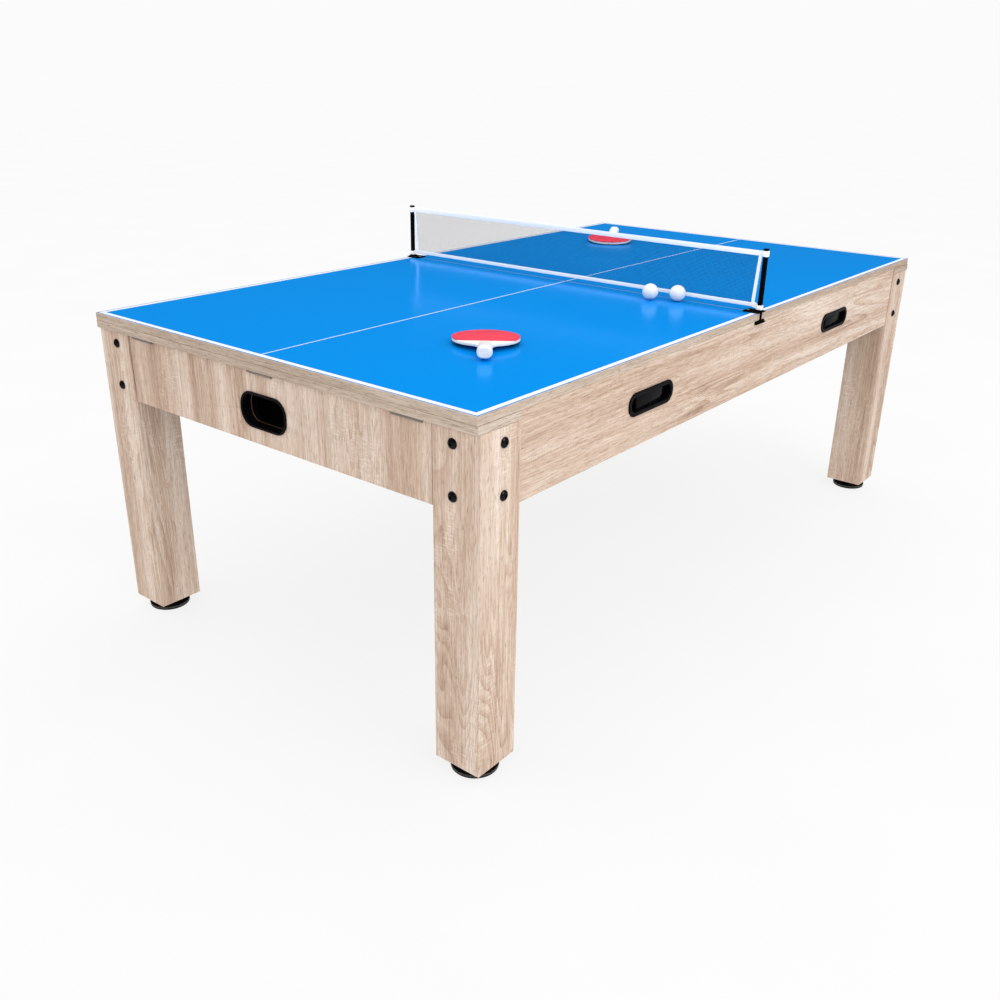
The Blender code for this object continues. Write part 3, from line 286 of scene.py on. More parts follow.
def oak_laminate(name, axis, shift, tones, figure=1.0, sawn=1.0, painted_light_lift=0.0):
    """Printed oak: tone bands, cathedral rings, fibre, short pores and cross saw marks."""
    dark, middle, light, pore = shades(*tones)
    made = Finish(name, middle, 0.5, Specular_IOR_Level=0.30)

    def grain(slow, *settings):
        return made.noise(made.stretched(along(axis, slow), shift), *settings)

    bands = grain(0.04, 19.0, 2.0, 0.5, 0.2)
    slow = grain(0.16, 4.5, 2.0, 0.5, 0.6)
    hills = grain(0.11, 6.0, 2.0, 0.45, 1.2)
    rings = made.maths('FRACT', made.maths('MULTIPLY', hills, RINGS_PER_HILL))
    rings = made.maths('MULTIPLY', made.between(rings, 0.35, 1.0), made.between(slow, 0.50, 0.62))
    fibre = grain(0.045, 560.0, 3.0, 0.7)
    strands = grain(0.025, 190.0, 3.0, 0.65)
    pores = made.between(grain(0.07, 760.0, 1.0), 0.60, 0.70)
    slant = made.out("ShaderNodeMapping", Vector=made.place, Rotation=SAW_SLANT, Scale=along(axis, 1.0, 0.10))
    marks = made.between(made.noise(slant, 520.0, 1.0), 0.50, 0.70)
    marks = made.maths('MULTIPLY', marks, made.between(grain(0.5, 11.0, 2.0), 0.52, 0.64))
    # painted light: the whole tone is lifted lighter, so the oak stands in brighter light than its plain
    # colour
    tone = painted_light_lift - 0.66
    for part, weight in ((bands, 0.80), (slow, 0.36), (rings, -0.26 * figure), (fibre, 0.70),
                         (strands, 0.55), (marks, 0.17 * sawn)):
        tone = made.maths('ADD', tone, made.maths('MULTIPLY', part, weight))
    colour = made.ramp(tone, [(0.18, dark), (0.50, middle), (0.80, light)])
    made.colour(made.blend(made.maths('MULTIPLY', pores, 0.5), colour, (*pore, 1.0)))
    made.roughness(fibre, 0.62, 0.46)
    relief = made.maths('ADD', made.maths('MULTIPLY', fibre, 0.6), made.maths('MULTIPLY', marks, 0.4))
    return made.bump(made.maths('SUBTRACT', relief, pores), 0.00015, 0.6)


OAK_TONES = ((154, 122, 100), (200, 174, 154), (228, 212, 198), (122, 88, 66))
EDGE_TONES = ((138, 114, 95), (180, 160, 142), (208, 192, 177), (102, 80, 62))


def mottled(name, base, roughness, cloud, stops, relief, rough=None, drawn=None, grain=None, **sockets):
    """Finish whose shade and roughness follow one noise, and whose relief follows that or a finer grain."""
    made = Finish(name, base, roughness, **sockets)
    cloud = made.noise(made.stretched(drawn) if drawn else made.place, *cloud)
    made.colour(cloud, *stops)
    if rough:
        made.roughness(cloud, *rough)
    height = made.noise(made.place, grain, 1.0) if grain else cloud
    return made.bump(height, *relief)


def black_moulding(name, roughness, gloss=0.34):
    """Black plastic with a fine spark-eroded grain."""
    return mottled(name, (0.006, 0.006, 0.007), roughness, (24.0, 2.0),
                   [(0.35, (0.002, 0.002, 0.003)), (0.7, (0.004, 0.004, 0.005))], (0.00002, 0.3),
                   (roughness - 0.05, roughness + 0.07), grain=2600.0, Specular_IOR_Level=gloss)


def blue_lacquer():
    """Smooth blue lacquer whose gloss keeps its own colour, with a little orange peel."""
    made = Finish("blue_lacquer", (0.0, 0.26, 0.80), 0.22, Metallic=0.22, Specular_IOR_Level=0.03,
                  Specular_Tint=(0.0, 0.5, 1.0, 1.0))
    made.colour((*shades((0, 146, 236))[0], 1.0))
    made.roughness(made.noise(made.place, 3.0), 0.15, 0.21)
    return made.bump(made.noise(made.place, 480.0, 1.0), 0.00002, 0.3)


def printed_white():
    """White screen-printed line, a little patchy where the ink is thin."""
    return mottled("printed_white", (0.86, 0.88, 0.90), 0.34, (220.0, 3.0),
                   [(0.3, (0.80, 0.84, 0.88)), (0.6, (0.90, 0.91, 0.92))], (0.00002, 0.3))


def raw_board(name, colour, fleck):
    """Bare fibre board with small flecks."""
    return mottled(name, colour, 0.85, (700.0, 3.0, 0.7), [(0.35, fleck), (0.6, colour)], (0.0001, 0.5))


def softwood():
    """Planed pine along Y, with soft growth lines."""
    made = Finish("planed_pine", (0.52, 0.36, 0.20), 0.65)
    rings = made.add("ShaderNodeTexWave", Vector=made.stretched((1.0, 0.06, 1.0)), Scale=60.0, Distortion=5.0,
                     Detail=2.0, Detail_Scale=1.5)
    made.colour(rings.outputs[0], (0.2, (0.58, 0.41, 0.24)), (0.8, (0.42, 0.26, 0.13)))
    return made.bump(rings.outputs[0], 0.0001, 0.3)


def zinc_plate():
    """Dull zinc-plated steel with drawn lines."""
    return mottled("zinc_plate", (0.30, 0.28, 0.26), 0.42, (900.0, 2.0),
                   [(0.3, (0.22, 0.20, 0.18)), (0.7, (0.34, 0.31, 0.28))], (0.00003, 0.4),
                   (0.32, 0.50), drawn=(1.0, 0.03, 1.0), Metallic=0.35)


def woven(name, colour, deep, pitch, height, nap=0.0):
    """Plain weave: two crossing sets of threads, with a brushed nap over them if asked."""
    made = Finish(name, colour, 0.92, Sheen_Weight=0.35, Sheen_Roughness=0.5)
    parts = made.add("ShaderNodeSeparateXYZ", Vector=made.place)
    waves = []
    for axis in "XYZ":
        turned = made.maths('MULTIPLY', parts.outputs[axis], math.pi / pitch)
        waves.append(made.maths('ABSOLUTE', made.maths('SINE', turned)))
    over = made.maths('MAXIMUM', waves[0], waves[2])
    weave = made.maths('MULTIPLY', over, made.maths('ADD', waves[1], 0.4))
    fuzz = made.noise(made.place, 900.0, 3.0, 0.7)
    mixed = made.maths('ADD', made.maths('MULTIPLY', weave, 1.0 - nap), made.maths('MULTIPLY', fuzz, nap))
    made.colour(mixed, (0.15, deep), (0.75, colour))
    return made.bump(mixed, height, 0.6)


def thread_nylon():
    """Dark blue net thread."""
    made = Finish("net_nylon", (0.01, 0.015, 0.05), 0.7, Specular_IOR_Level=0.12)
    twist = made.noise(made.place, 3000.0, 1.0)
    made.colour(twist, (0.3, (0.006, 0.010, 0.035)), (0.7, (0.014, 0.020, 0.065)))
    return made.material


def table_rubber(name, colour, deep):
    """Smooth bat rubber with a slight cloudy sheen."""
    return mottled(name, colour, 0.42, (38.0, 3.0), [(0.3, deep), (0.7, colour)], (0.00003, 0.4),
                   (0.36, 0.50), grain=1500.0)


def white_paint(name, roughness):
    """White paint over wood, with faint brush grain."""
    return mottled(name, (0.84, 0.84, 0.83), roughness, (160.0, 2.0),
                   [(0.3, (0.78, 0.78, 0.77)), (0.65, (0.88, 0.88, 0.87))], (0.00003, 0.4),
                   (roughness + 0.06, roughness - 0.06), drawn=(0.3, 0.3, 1.0))


def ball_plastic():
    """White seamed ball plastic, slightly dull."""
    return mottled("ball_plastic", (0.88, 0.88, 0.87), 0.38, (500.0, 2.0),
                   [(0.3, (0.84, 0.84, 0.83)), (0.6, (0.90, 0.90, 0.89))], (0.00002, 0.3),
                   (0.44, 0.34), Subsurface_Weight=0.15, Subsurface_Scale=0.004)


FINISH = {
    # The legs take the same oak lifted lighter than the rest: painted light for the brighter light that falls
    # on the legs
    "leg": oak_laminate("oak_upright_legs", "Z", (0.13, 0.07, 0.0), OAK_TONES, 0.7, 1.2, 0.035),
    "side": oak_laminate("oak_along_sides", "X", (0.0, 0.21, 0.33), OAK_TONES, 1.3, 0.9, 0.02),
    "panel": oak_laminate("oak_upright_panels", "Z", (0.41, 0.19, 0.0), OAK_TONES, 0.5, 1.0),
    "edge_x": oak_laminate("oak_edging_along", "X", (0.0, 0.5, 0.7), EDGE_TONES, 0.3, 0.2),
    "edge_y": oak_laminate("oak_edging_across", "Y", (0.6, 0.0, 0.9), EDGE_TONES, 0.3, 0.2),
    "cap": oak_laminate("oak_rail_caps", "X", (0.0, 0.8, 0.1), EDGE_TONES, 0.8, 0.4),
    "plastic": black_moulding("black_moulding", 0.34, 0.012),
    "fitting": black_moulding("black_fitting", 0.12, 0.14),
    "bolt": black_moulding("black_bolt_finish", 0.12, 0.55),
    "bracket": black_moulding("black_bracket_finish", 0.5),
    "blue": blue_lacquer(),
    "line": printed_white(),
    "trim": raw_board("brown_board_edge", (0.20, 0.095, 0.045), (0.12, 0.055, 0.025)),
    "core": raw_board("bare_core", (0.36, 0.25, 0.15), (0.24, 0.16, 0.09)),
    "under": raw_board("backing_paper", (0.72, 0.70, 0.66), (0.62, 0.60, 0.56)),
    "bed": raw_board("bed_board_finish", (0.28, 0.24, 0.19), (0.18, 0.15, 0.12)),
    "trough": raw_board("stained_board", (0.035, 0.031, 0.028), (0.02, 0.018, 0.016)),
    "pine": softwood(),
    "zinc": zinc_plate(),
    "cloth": woven("blue_cloth_weave", (0.02, 0.14, 0.45), (0.01, 0.08, 0.30), 0.0011, 0.0002, 0.6),
    "tape": woven("white_tape_weave", (0.98, 0.98, 0.98), (0.94, 0.95, 0.965), 0.0007, 0.00006),
    "thread": thread_nylon(),
    "red": table_rubber("red_rubber", (0.96, 0.050, 0.095), (0.86, 0.036, 0.072)),
    "black": table_rubber("black_rubber", (0.018, 0.018, 0.018), (0.010, 0.010, 0.010)),
    "blade": white_paint("white_blade", 0.45),
    "handle": white_paint("white_handle", 0.35),
    "ball": ball_plastic(),
}


# --- mesh building

def finished(name, mesh, body, finishes, replaces=(), angle=35.0):
    """Piece from a mesh with its place in its vertices, riding on its body."""
    if isinstance(mesh, bmesh.types.BMesh):
        shape = mesh
        mesh = bpy.data.meshes.new(name)
        shape.to_mesh(mesh)
        shape.free()
    for finish in (FINISH[key] for key in finishes):
        if finish.name not in mesh.materials:
            mesh.materials.append(finish)
    mesh.shade_smooth()
    mesh.set_sharp_from_angle(angle=math.radians(angle))
    piece = bpy.data.objects.new(name, mesh)
    bpy.context.scene.collection.objects.link(piece)
    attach(piece, body)
    if replaces:
        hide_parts(*replaces)
    return piece


def copy_of(node):
    """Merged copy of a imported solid's mesh, to soften or refine."""
    shape = bmesh.new()
    shape.from_mesh(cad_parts[node].data)
    bmesh.ops.remove_doubles(shape, verts=shape.verts, dist=0.000002)
    flat = [e for e in shape.edges if len(e.link_faces) == 2 and e.calc_face_angle() < 0.002]
    bmesh.ops.dissolve_edges(shape, edges=flat, use_verts=False)
    for face in shape.faces:
        face.material_index = 0
    return shape


def move(shape, matrix):
    """Moves all of a bmesh."""
    bmesh.ops.transform(shape, matrix=matrix, verts=shape.verts)


def join(target, other, matrix=Matrix.Identity(4), index=None):
    """Adds one bmesh to another, moved, and frees it."""
    if index is not None:
        for face in other.faces:
            face.material_index = index
    move(other, matrix)
    carrier = bpy.data.meshes.new("carrier")
    other.to_mesh(carrier)
    other.free()
    target.from_mesh(carrier)
    bpy.data.meshes.remove(carrier)


def block(low, high, edge_round=0.0005, segments=2):
    """Block between two corners with rounded edges."""
    shape = bmesh.new()
    bmesh.ops.create_cube(shape, size=1.0)
    low_corner = Vector([min(a, b) for a, b in zip(low, high)])
    high_corner = Vector([max(a, b) for a, b in zip(low, high)])
    bmesh.ops.scale(shape, verts=shape.verts, vec=high_corner - low_corner)
    bmesh.ops.translate(shape, verts=shape.verts, vec=(low_corner + high_corner) / 2)
    bmesh.ops.bevel(shape, geom=shape.edges[:], offset=edge_round, segments=segments,
                    profile=0.5, affect='EDGES')
    return shape


def lathe(profile, segments, start=0.0, sweep=2 * math.pi, ring=False):
    """Surface of (radius, height) points turned about Z; a part turn gets end faces."""
    whole = sweep > 2 * math.pi - 0.001
    steps = segments if whole else segments + 1
    shape = bmesh.new()
    columns = []
    for step in range(steps):
        angle = start + sweep * step / segments
        columns.append([shape.verts.new((r * math.cos(angle), r * math.sin(angle), z)) for r, z in profile])
    runs = len(profile) if ring else len(profile) - 1
    for a in range(segments):
        near, far = columns[a], columns[(a + 1) % steps]
        for b in range(runs):
            c = (b + 1) % len(profile)
            shape.faces.new((near[b], far[b], far[c], near[c]))
    if not whole and ring:
        shape.faces.new(columns[0])
        shape.faces.new(columns[-1])
    bmesh.ops.remove_doubles(shape, verts=shape.verts, dist=0.00001)
    bmesh.ops.recalc_face_normals(shape, faces=shape.faces)
    return shape


def arc(centre, radius, start, stop, steps):
    """Points on an arc, in degrees."""
    points = []
    for step in range(steps + 1):
        angle = math.radians(start + (stop - start) * step / steps)
        points.append((centre[0] + radius * math.cos(angle), centre[1] + radius * math.sin(angle)))
    return points


def oval(width, height, corner, steps=10):
    """Rounded rectangle about the middle, counter-clockwise, with a point in each long run."""
    points = []
    for quarter, (sx, sy) in enumerate(((1, 1), (-1, 1), (-1, -1), (1, -1))):
        centre = (sx * (width / 2 - corner), sy * (height / 2 - corner))
        points += arc(centre, corner, 90 * quarter, 90 * (quarter + 1), steps)
        if quarter in (0, 2):
            points += [(sx * reach, sy * height / 2) for reach in (0.0005, 0.0, -0.0005)]
    return points


def loft(rows, ring=False):
    """Skin through equal loops of points, with end faces unless it closes on itself."""
    shape = bmesh.new()
    loops = [[shape.verts.new(point) for point in row] for row in rows]
    pairs = list(zip(loops, loops[1:]))
    if ring:
        pairs.append((loops[-1], loops[0]))
    else:
        shape.faces.new(loops[0])
        shape.faces.new(loops[-1])
    count = len(loops[0])
    for lower, upper in pairs:
        for i in range(count):
            j = (i + 1) % count
            shape.faces.new((lower[i], lower[j], upper[j], upper[i]))
    bmesh.ops.recalc_face_normals(shape, faces=shape.faces)
    return shape


def gridded_slab(xs, ys, low, high, edge_break):
    """Closed slab whose faces are cut at every x and y, with its top and bottom edges broken."""
    levels = [(low, edge_break), (low + edge_break, 0.0), (high - edge_break, 0.0), (high, edge_break)]
    last_x = len(xs) - 1
    last_y = len(ys) - 1
    shape = bmesh.new()
    found = {}

    def corner(i, j, level):
        if (i, j, level) not in found:
            z, inset = levels[level]
            x = xs[i] + inset * ((i == 0) - (i == last_x))
            y = ys[j] + inset * ((j == 0) - (j == last_y))
            found[(i, j, level)] = shape.verts.new((x, y, z))
        return found[(i, j, level)]

    def quad(*corners):
        shape.faces.new([corner(*place) for place in corners])

    for i in range(last_x):
        for j in range(last_y):
            for level in (0, 3):
                quad((i, j, level), (i + 1, j, level), (i + 1, j + 1, level), (i, j + 1, level))
    for level in range(3):
        for i in range(last_x):
            for j in (0, last_y):
                quad((i, j, level), (i + 1, j, level), (i + 1, j, level + 1), (i, j, level + 1))
        for j in range(last_y):
            for i in (0, last_x):
                quad((i, j, level), (i, j + 1, level), (i, j + 1, level + 1), (i, j, level + 1))
    bmesh.ops.recalc_face_normals(shape, faces=shape.faces)
    return shape


# --- geometry trees

class Grower(Tree):
    """Geometry tree that sets one shape on every seat, with named sizes and a finish."""

    def __init__(self, name, *labels):
        super().__init__(bpy.data.node_groups.new(name, "GeometryNodeTree"))
        self.socket("Seats", "Geometry")
        for label in labels:
            self.socket(label, "Int" if label == "Count" else "Float")
        self.socket("Finish", "Material")
        self.socket("Result", "Geometry", 'OUTPUT')
        self.size = self.add("NodeGroupInput").outputs

    def socket(self, label, kind, way='INPUT'):
        self.tree.interface.new_socket(label, in_out=way, socket_type=f"NodeSocket{kind}")

    def xyz(self, **parts):
        return self.out("ShaderNodeCombineXYZ", **parts)

    def moved(self, shape, **how):
        return self.out("GeometryNodeTransform", Geometry=shape, **how)

    def cylinder(self, sides, radius, depth):
        return self.out("GeometryNodeMeshCylinder", Vertices=sides, Radius=radius, Depth=depth)

    def domed(self, segments, rings, radius, height):
        """Ball drawn out to one radius across and another upwards."""
        ball = self.out("GeometryNodeMeshUVSphere", Segments=segments, Rings=rings, Radius=1.0)
        return self.moved(ball, Scale=self.xyz(X=radius, Y=radius, Z=height))

    def line(self, count, start, step):
        return self.out("GeometryNodeMeshLine", Count=count, Start_Location=start, Offset=step, mode='OFFSET')

    def joined(self, *shapes):
        whole = self.add("GeometryNodeJoinGeometry")
        for shape in shapes:
            self.feed(whole.inputs[0], shape)
        return whole.outputs[0]

    def set_on(self, points, shape, **turn):
        return self.out("GeometryNodeInstanceOnPoints", Points=points, Instance=shape, **turn)

    def turned(self, direction, axis):
        return {"Rotation": self.out("FunctionNodeAlignRotationToVector", Vector=direction, axis=axis)}

    def close(self, shape, facing=False):
        """Ends the tree in real geometry in its finish, each shape turned as its seat faces if asked."""
        turn = {}
        if facing:
            way = self.out("GeometryNodeInputNamedAttribute", Name="facing", data_type='FLOAT_VECTOR')
            turn = self.turned(way, 'Z')
        placed = self.set_on(self.size["Seats"], shape, **turn)
        real = self.out("GeometryNodeRealizeInstances", Geometry=placed)
        painted = self.out("GeometryNodeSetMaterial", Geometry=real, Material=self.size["Finish"])
        self.add("NodeGroupOutput", Result=painted)
        return self.tree


def grown(tree, places, finish, sizes):
    """Mesh that a geometry tree makes on its seats, each a place and the way it faces."""
    seats = bpy.data.meshes.new("seats")
    seats.from_pydata([place for place, _ in places], [], [])
    facing = seats.attributes.new("facing", 'FLOAT_VECTOR', 'POINT')
    for item, (_, direction) in zip(facing.data, places):
        item.vector = direction
    carrier = bpy.data.objects.new("carrier", seats)
    bpy.context.scene.collection.objects.link(carrier)
    step = carrier.modifiers.new("grow", 'NODES')
    step.node_group = tree
    given = {**sizes, "Finish": FINISH[finish]}
    for socket in tree.interface.items_tree:
        if socket.name in given:
            step[socket.identifier] = given[socket.name]
    bpy.context.view_layer.update()
    graph = bpy.context.evaluated_depsgraph_get()
    mesh = bpy.data.meshes.new_from_object(carrier.evaluated_get(graph))
    bpy.data.objects.remove(carrier)
    return mesh


def bolt_tree():
    """Cup-head bolt with a hexagon socket, a shank and a nut, on every seat."""
    made = Grower("cup_head_bolts", *BOLT_SIZES)
    size = made.size
    dome = made.domed(40, 20, size["Head Radius"], size["Head Height"])
    below = made.moved(made.out("GeometryNodeMeshCube", Size=(0.05, 0.05, 0.02)),
                       Translation=(0.0, 0.0, -0.01))
    socket = made.moved(made.cylinder(6, size["Socket Radius"], size["Head Height"]),
                        Translation=made.xyz(Z=size["Head Height"]))
    head = made.add("GeometryNodeMeshBoolean", Mesh_1=dome, operation='DIFFERENCE', solver='EXACT')
    made.feed(head.inputs["Mesh 2"], socket)
    made.feed(head.inputs["Mesh 2"], below)
    shank = made.cylinder(24, size["Shank Radius"], made.maths('ADD', size["Grip"], 0.001))
    shank = made.moved(shank, Translation=made.xyz(Z=made.maths('MULTIPLY', size["Grip"], -0.5)))
    nut_z = made.maths('SUBTRACT', made.maths('MULTIPLY', size["Nut Height"], -0.5), size["Grip"])
    nut = made.moved(made.cylinder(6, size["Nut Radius"], size["Nut Height"]), Translation=made.xyz(Z=nut_z))
    return made.close(made.joined(head.outputs["Mesh"], shank, nut), facing=True)


def netting_tree():
    """Square netting in the YZ plane, centred on its one seat."""
    made = Grower("square_netting", "Width", "Height", "Pitch", "Thread")
    size = made.size
    runs = []
    for length, across, axis, other in (("Height", "Width", "Z", "Y"), ("Width", "Height", "Y", "Z")):
        count = made.maths('FLOOR', made.maths('DIVIDE', size[across], size["Pitch"]))
        step = made.maths('DIVIDE', size[across], count)
        start = made.maths('MULTIPLY', made.maths('SUBTRACT', step, size[across]), 0.5)
        line = made.line(count, made.xyz(**{other: start}), made.xyz(**{other: step}))
        box = made.xyz(**{"X": size["Thread"], other: size["Thread"], axis: size[length]})
        runs.append(made.set_on(line, made.out("GeometryNodeMeshCube", Size=box)))
    return made.close(made.joined(*runs))


def stitch_tree():
    """Row of sewing stitches on every seat, running the way the seat faces."""
    made = Grower("stitch_rows", "Run", "Pitch", "Thread")
    size = made.size
    count = made.maths('FLOOR', made.maths('DIVIDE', size["Run"], size["Pitch"]))
    start = made.maths('MULTIPLY', size["Run"], -0.5)
    line = made.line(count, made.xyz(Z=start), made.xyz(Z=size["Pitch"]))
    stitch = made.domed(6, 4, size["Thread"], made.maths('MULTIPLY', size["Pitch"], STITCH_SHARE))
    return made.close(made.set_on(line, stitch), facing=True)


def stud_tree():
    """Small round-topped stud on every seat, such as a rail sight or a screw head."""
    made = Grower("studs", "Radius", "Height")
    return made.close(made.domed(20, 10, made.size["Radius"], made.size["Height"]), facing=True)


def screw_thread_tree():
    """Helical thread about each seat, starting there and rising."""
    made = Grower("screw_thread", "Radius", "Height", "Pitch")
    size = made.size
    turns = made.maths('DIVIDE', size["Height"], size["Pitch"])
    helix = made.out("GeometryNodeCurveSpiral", Resolution=16, Rotations=turns, Height=size["Height"],
                     Start_Radius=size["Radius"], End_Radius=size["Radius"])
    section = made.out("GeometryNodeCurvePrimitiveCircle", Resolution=4,
                       Radius=made.maths('MULTIPLY', size["Pitch"], 0.5))
    return made.close(made.out("GeometryNodeCurveToMesh", Curve=helix, Profile_Curve=section, Fill_Caps=True))


def rib_tree():
    """Upright ribs round each seat, as on the rim of a screw-in foot."""
    made = Grower("rim_ribs", "Count", "Radius", "Depth", "Height")
    size = made.size
    circle = made.out("GeometryNodeMeshCircle", Vertices=size["Count"], Radius=size["Radius"])
    turn = made.turned(made.out("GeometryNodeInputPosition"), 'X')
    return made.close(made.set_on(circle, made.cylinder(8, size["Depth"], size["Height"]), **turn))


# --- the frame

def give(names, finish):
    """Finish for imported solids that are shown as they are."""
    for name in names:
        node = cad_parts[name]
        node.data.materials.clear()
        node.data.materials.append(FINISH[finish])


def eased(node, body, finishes):
    """Board with its long sharp edges eased; across faces take the second finish."""
    shape = copy_of(node)
    long_edges = [e for e in shape.edges if e.calc_length() > 0.012 and e.calc_face_angle(0.0) > 1.0]
    bmesh.ops.bevel(shape, geom=long_edges, offset=BOARD_EASE, segments=2, profile=0.5, affect='EDGES')
    for face in shape.faces:
        face.material_index = len(finishes) - 1 if abs(face.normal.y) > 0.5 else 0
    return finished(f"eased_{node}", shape, body, finishes, [node])


def finish_boards():
    """Eased oak boards, and the solids that are shown just as they are packed."""
    for end in ENDS:
        for side in SIDES:
            eased(f"leg_{end}_{side}", "frame", ["leg"])
        eased(f"end_rail_{end}", "frame", ["edge_y", "edge_x"])
    for side in SIDES:
        eased(f"apron_{side}", "frame", ["side"])
    eased("apron_rear", "frame", ["panel"])
    eased("ball_flap", "flap", ["panel"])
    give(["long_rail_left", "long_rail_right"], "cap")
    give(["bed"], "bed")
    give(["bed_beam_front", "bed_beam_rear"], "pine")
    give(["gully_left", "gully_right"], "plastic")
    give(["ball_trough"], "trough")
    for half in ("fixed", "moving"):
        give([f"hinge_{half}_{place}" for place in ("left", "middle", "right")], "zinc")


def make_corners():
    """L brackets inside the legs, and the sixteen cup-head bolts through them."""
    brackets = bmesh.new()
    seats = []
    for corner, sx, sy in CORNERS:
        low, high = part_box(f"corner_bolts_{corner}")
        out_x = sx * (LEG_FACE_X - LEG_WALL - GAP)
        out_y = sy * (LEG_FACE_Y - LEG_WALL - GAP)
        arm_x = low.x if sx > 0 else high.x
        arm_y = low.y if sy > 0 else high.y
        for x, y in ((arm_x, out_y - sy * BRACKET_THICKNESS), (out_x - sx * BRACKET_THICKNESS, arm_y)):
            join(brackets, block((out_x, out_y, low.z), (x, y, high.z), BRACKET_ROUND))
        for height in BOLT_HEIGHTS:
            seats.append(((sx * (LEG_FACE_X + GAP), sy * (LEG_FACE_Y - BOLT_INSET), height), (sx, 0, 0)))
            seats.append(((sx * (LEG_FACE_X - BOLT_INSET), sy * (LEG_FACE_Y + GAP), height), (0, sy, 0)))
    finished("corner_brackets", brackets, "frame", ["bracket"])
    nodes = [f"corner_bolts_{corner}" for corner, _, _ in CORNERS]
    bolts = grown(bolt_tree(), seats, "bolt", BOLT_SIZES)
    finished("cup_head_bolts", bolts, "frame", ["bolt"], nodes)


def foot_profile(radius):
    """Half section of a foot: flat sole, rounded rim, sloping shoulder and raised hub."""
    points = [(0.0, 0.0), (radius - 0.004, 0.0)]
    points += arc((radius - 0.0040, 0.0032), 0.0032, -90, 0, 6)
    points += arc((radius - 0.0050, 0.0105), 0.0042, 0, 90, 6)
    points += [(radius - 0.012, 0.0160), (FOOT_HUB_RADIUS + 0.002, 0.0172), (FOOT_HUB_RADIUS, 0.0190),
               (FOOT_HUB_RADIUS, FOOT_TOP - 0.0005), (FOOT_HUB_RADIUS - 0.0005, FOOT_TOP), (0.0, FOOT_TOP)]
    return points


def make_feet():
    """Moulded screw-in feet with a ribbed rim and a threaded steel stem."""
    ribs = rib_tree()
    thread = screw_thread_tree()
    core = FOOT_STEM_RADIUS - 0.0004
    for corner, _, _ in CORNERS:
        node = f"foot_{corner}"
        low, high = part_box(node)
        centre = (low + high) / 2
        radius = (high.x - low.x) / 2
        shape = lathe(foot_profile(radius), 72)
        place = Matrix.Translation((centre.x, centre.y, 0.0))
        move(shape, place)
        shape.from_mesh(grown(ribs, [((centre.x, centre.y, RIB_MIDDLE), UP)], "plastic", {
            "Count": RIB_COUNT, "Radius": radius - 0.0006, "Depth": RIB_DEPTH, "Height": RIB_HEIGHT}))
        stem = lathe([(0.0, STEM_START), (core, STEM_START), (core, high.z - 0.001),
                      (core - 0.001, high.z), (0.0, high.z)], 24)
        join(shape, stem, place, 1)
        finished(f"levelling_{node}", shape, node, ["plastic", "zinc"], [node])
        ridge = grown(thread, [((centre.x, centre.y, THREAD_START), UP)], "zinc", {
            "Radius": FOOT_STEM_RADIUS - 0.0006, "Height": high.z - 0.030, "Pitch": SCREW_PITCH})
        finished(f"levelling_{node}_thread", ridge, node, ["zinc"])


def fitting(size, rim, depths, back, place, ring=False):
    """Moulded oval fitting: collar in the board, rounded flange, and its opening's wall at some depths."""
    width, height, corner = size
    turns = [(math.cos(a), math.sin(a)) for a in (0.0, 0.4, 0.8, 1.2, math.pi / 2)]
    profile = [(0.0, 0.0)]
    profile += [(0.0012 - 0.0012 * c, FLANGE - 0.0012 + 0.0012 * s) for c, s in turns]
    profile += [(rim - 0.0015 + 0.0015 * s, FLANGE - 0.0015 + 0.0015 * c) for c, s in turns]
    profile += [(rim, -depth) for depth in depths]

    def loop(inset):
        return oval(width - 2 * inset, height - 2 * inset, corner - inset)

    rows = [[place(across, up, depth) for across, up in loop(rim - FLANGE)] for depth in (-back, 0.0)]
    for inset, out in profile:
        row = []
        for across, up in loop(inset):
            split = abs(across) < 0.0001 and out > 0.0005
            row.append(place(across, up, out - (SPLIT_DEPTH if split else 0.0)))
        rows.append(row)
    return loft(rows, ring=ring)


def make_trays():
    """Oval finger trays: a flat plate in the middle with a deep pocket at each end."""
    half = TRAY_PLATE_LENGTH / 2
    tall = TRAY_SIZE[1] / 2 - TRAY_RIM + 0.001
    for side, sy in SIDES.items():
        for end in ENDS:
            node = f"tray_{side}_{end}"
            low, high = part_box(node)
            centre_x = (low.x + high.x) / 2
            face = (high.y if sy > 0 else low.y) - sy * FLANGE

            def place(across, up, out):
                return (centre_x - sy * across, face + sy * out, TRAY_Z + up)

            shape = fitting(TRAY_SIZE, TRAY_RIM, [TRAY_FLOOR], TRAY_BACK, place)
            corners = (place(-half, -tall, -TRAY_FLOOR - 0.001), place(half, tall, -TRAY_PLATE_DROP))
            join(shape, block(*corners, 0.0012, 3))
            finished(f"finger_{node}", shape, "frame", ["fitting"], [node])


def make_window():
    """Open oval ball window through the flap, with a brown band in its wall."""
    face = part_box("ball_window")[0].x + FLANGE

    def place(across, up, out):
        return (face - out, across, WINDOW_Z + up)

    shape = fitting(WINDOW_SIZE, WINDOW_RIM, [*TRIM_DEPTHS, WINDOW_DEPTH], WINDOW_DEPTH, place, ring=True)
    trim_low, trim_high = (face + depth for depth in TRIM_DEPTHS)
    for part in shape.faces:
        middle = part.calc_center_median()
        inside = abs(middle.y) < WINDOW_SIZE[0] / 2 - WINDOW_RIM + 0.0005
        part.material_index = 1 if trim_low < middle.x < trim_high and inside else 0
    finished("oval_ball_window", shape, "flap", ["fitting", "trim"], ["ball_window"])


# --- the pool bed

def make_bed_cloth():
    """Pool cloth, one sheet stretched over the bed."""
    cloth = finished("pool_cloth", copy_of("bed_cloth"), "frame", ["cloth"],
                     ["bed_cloth"])


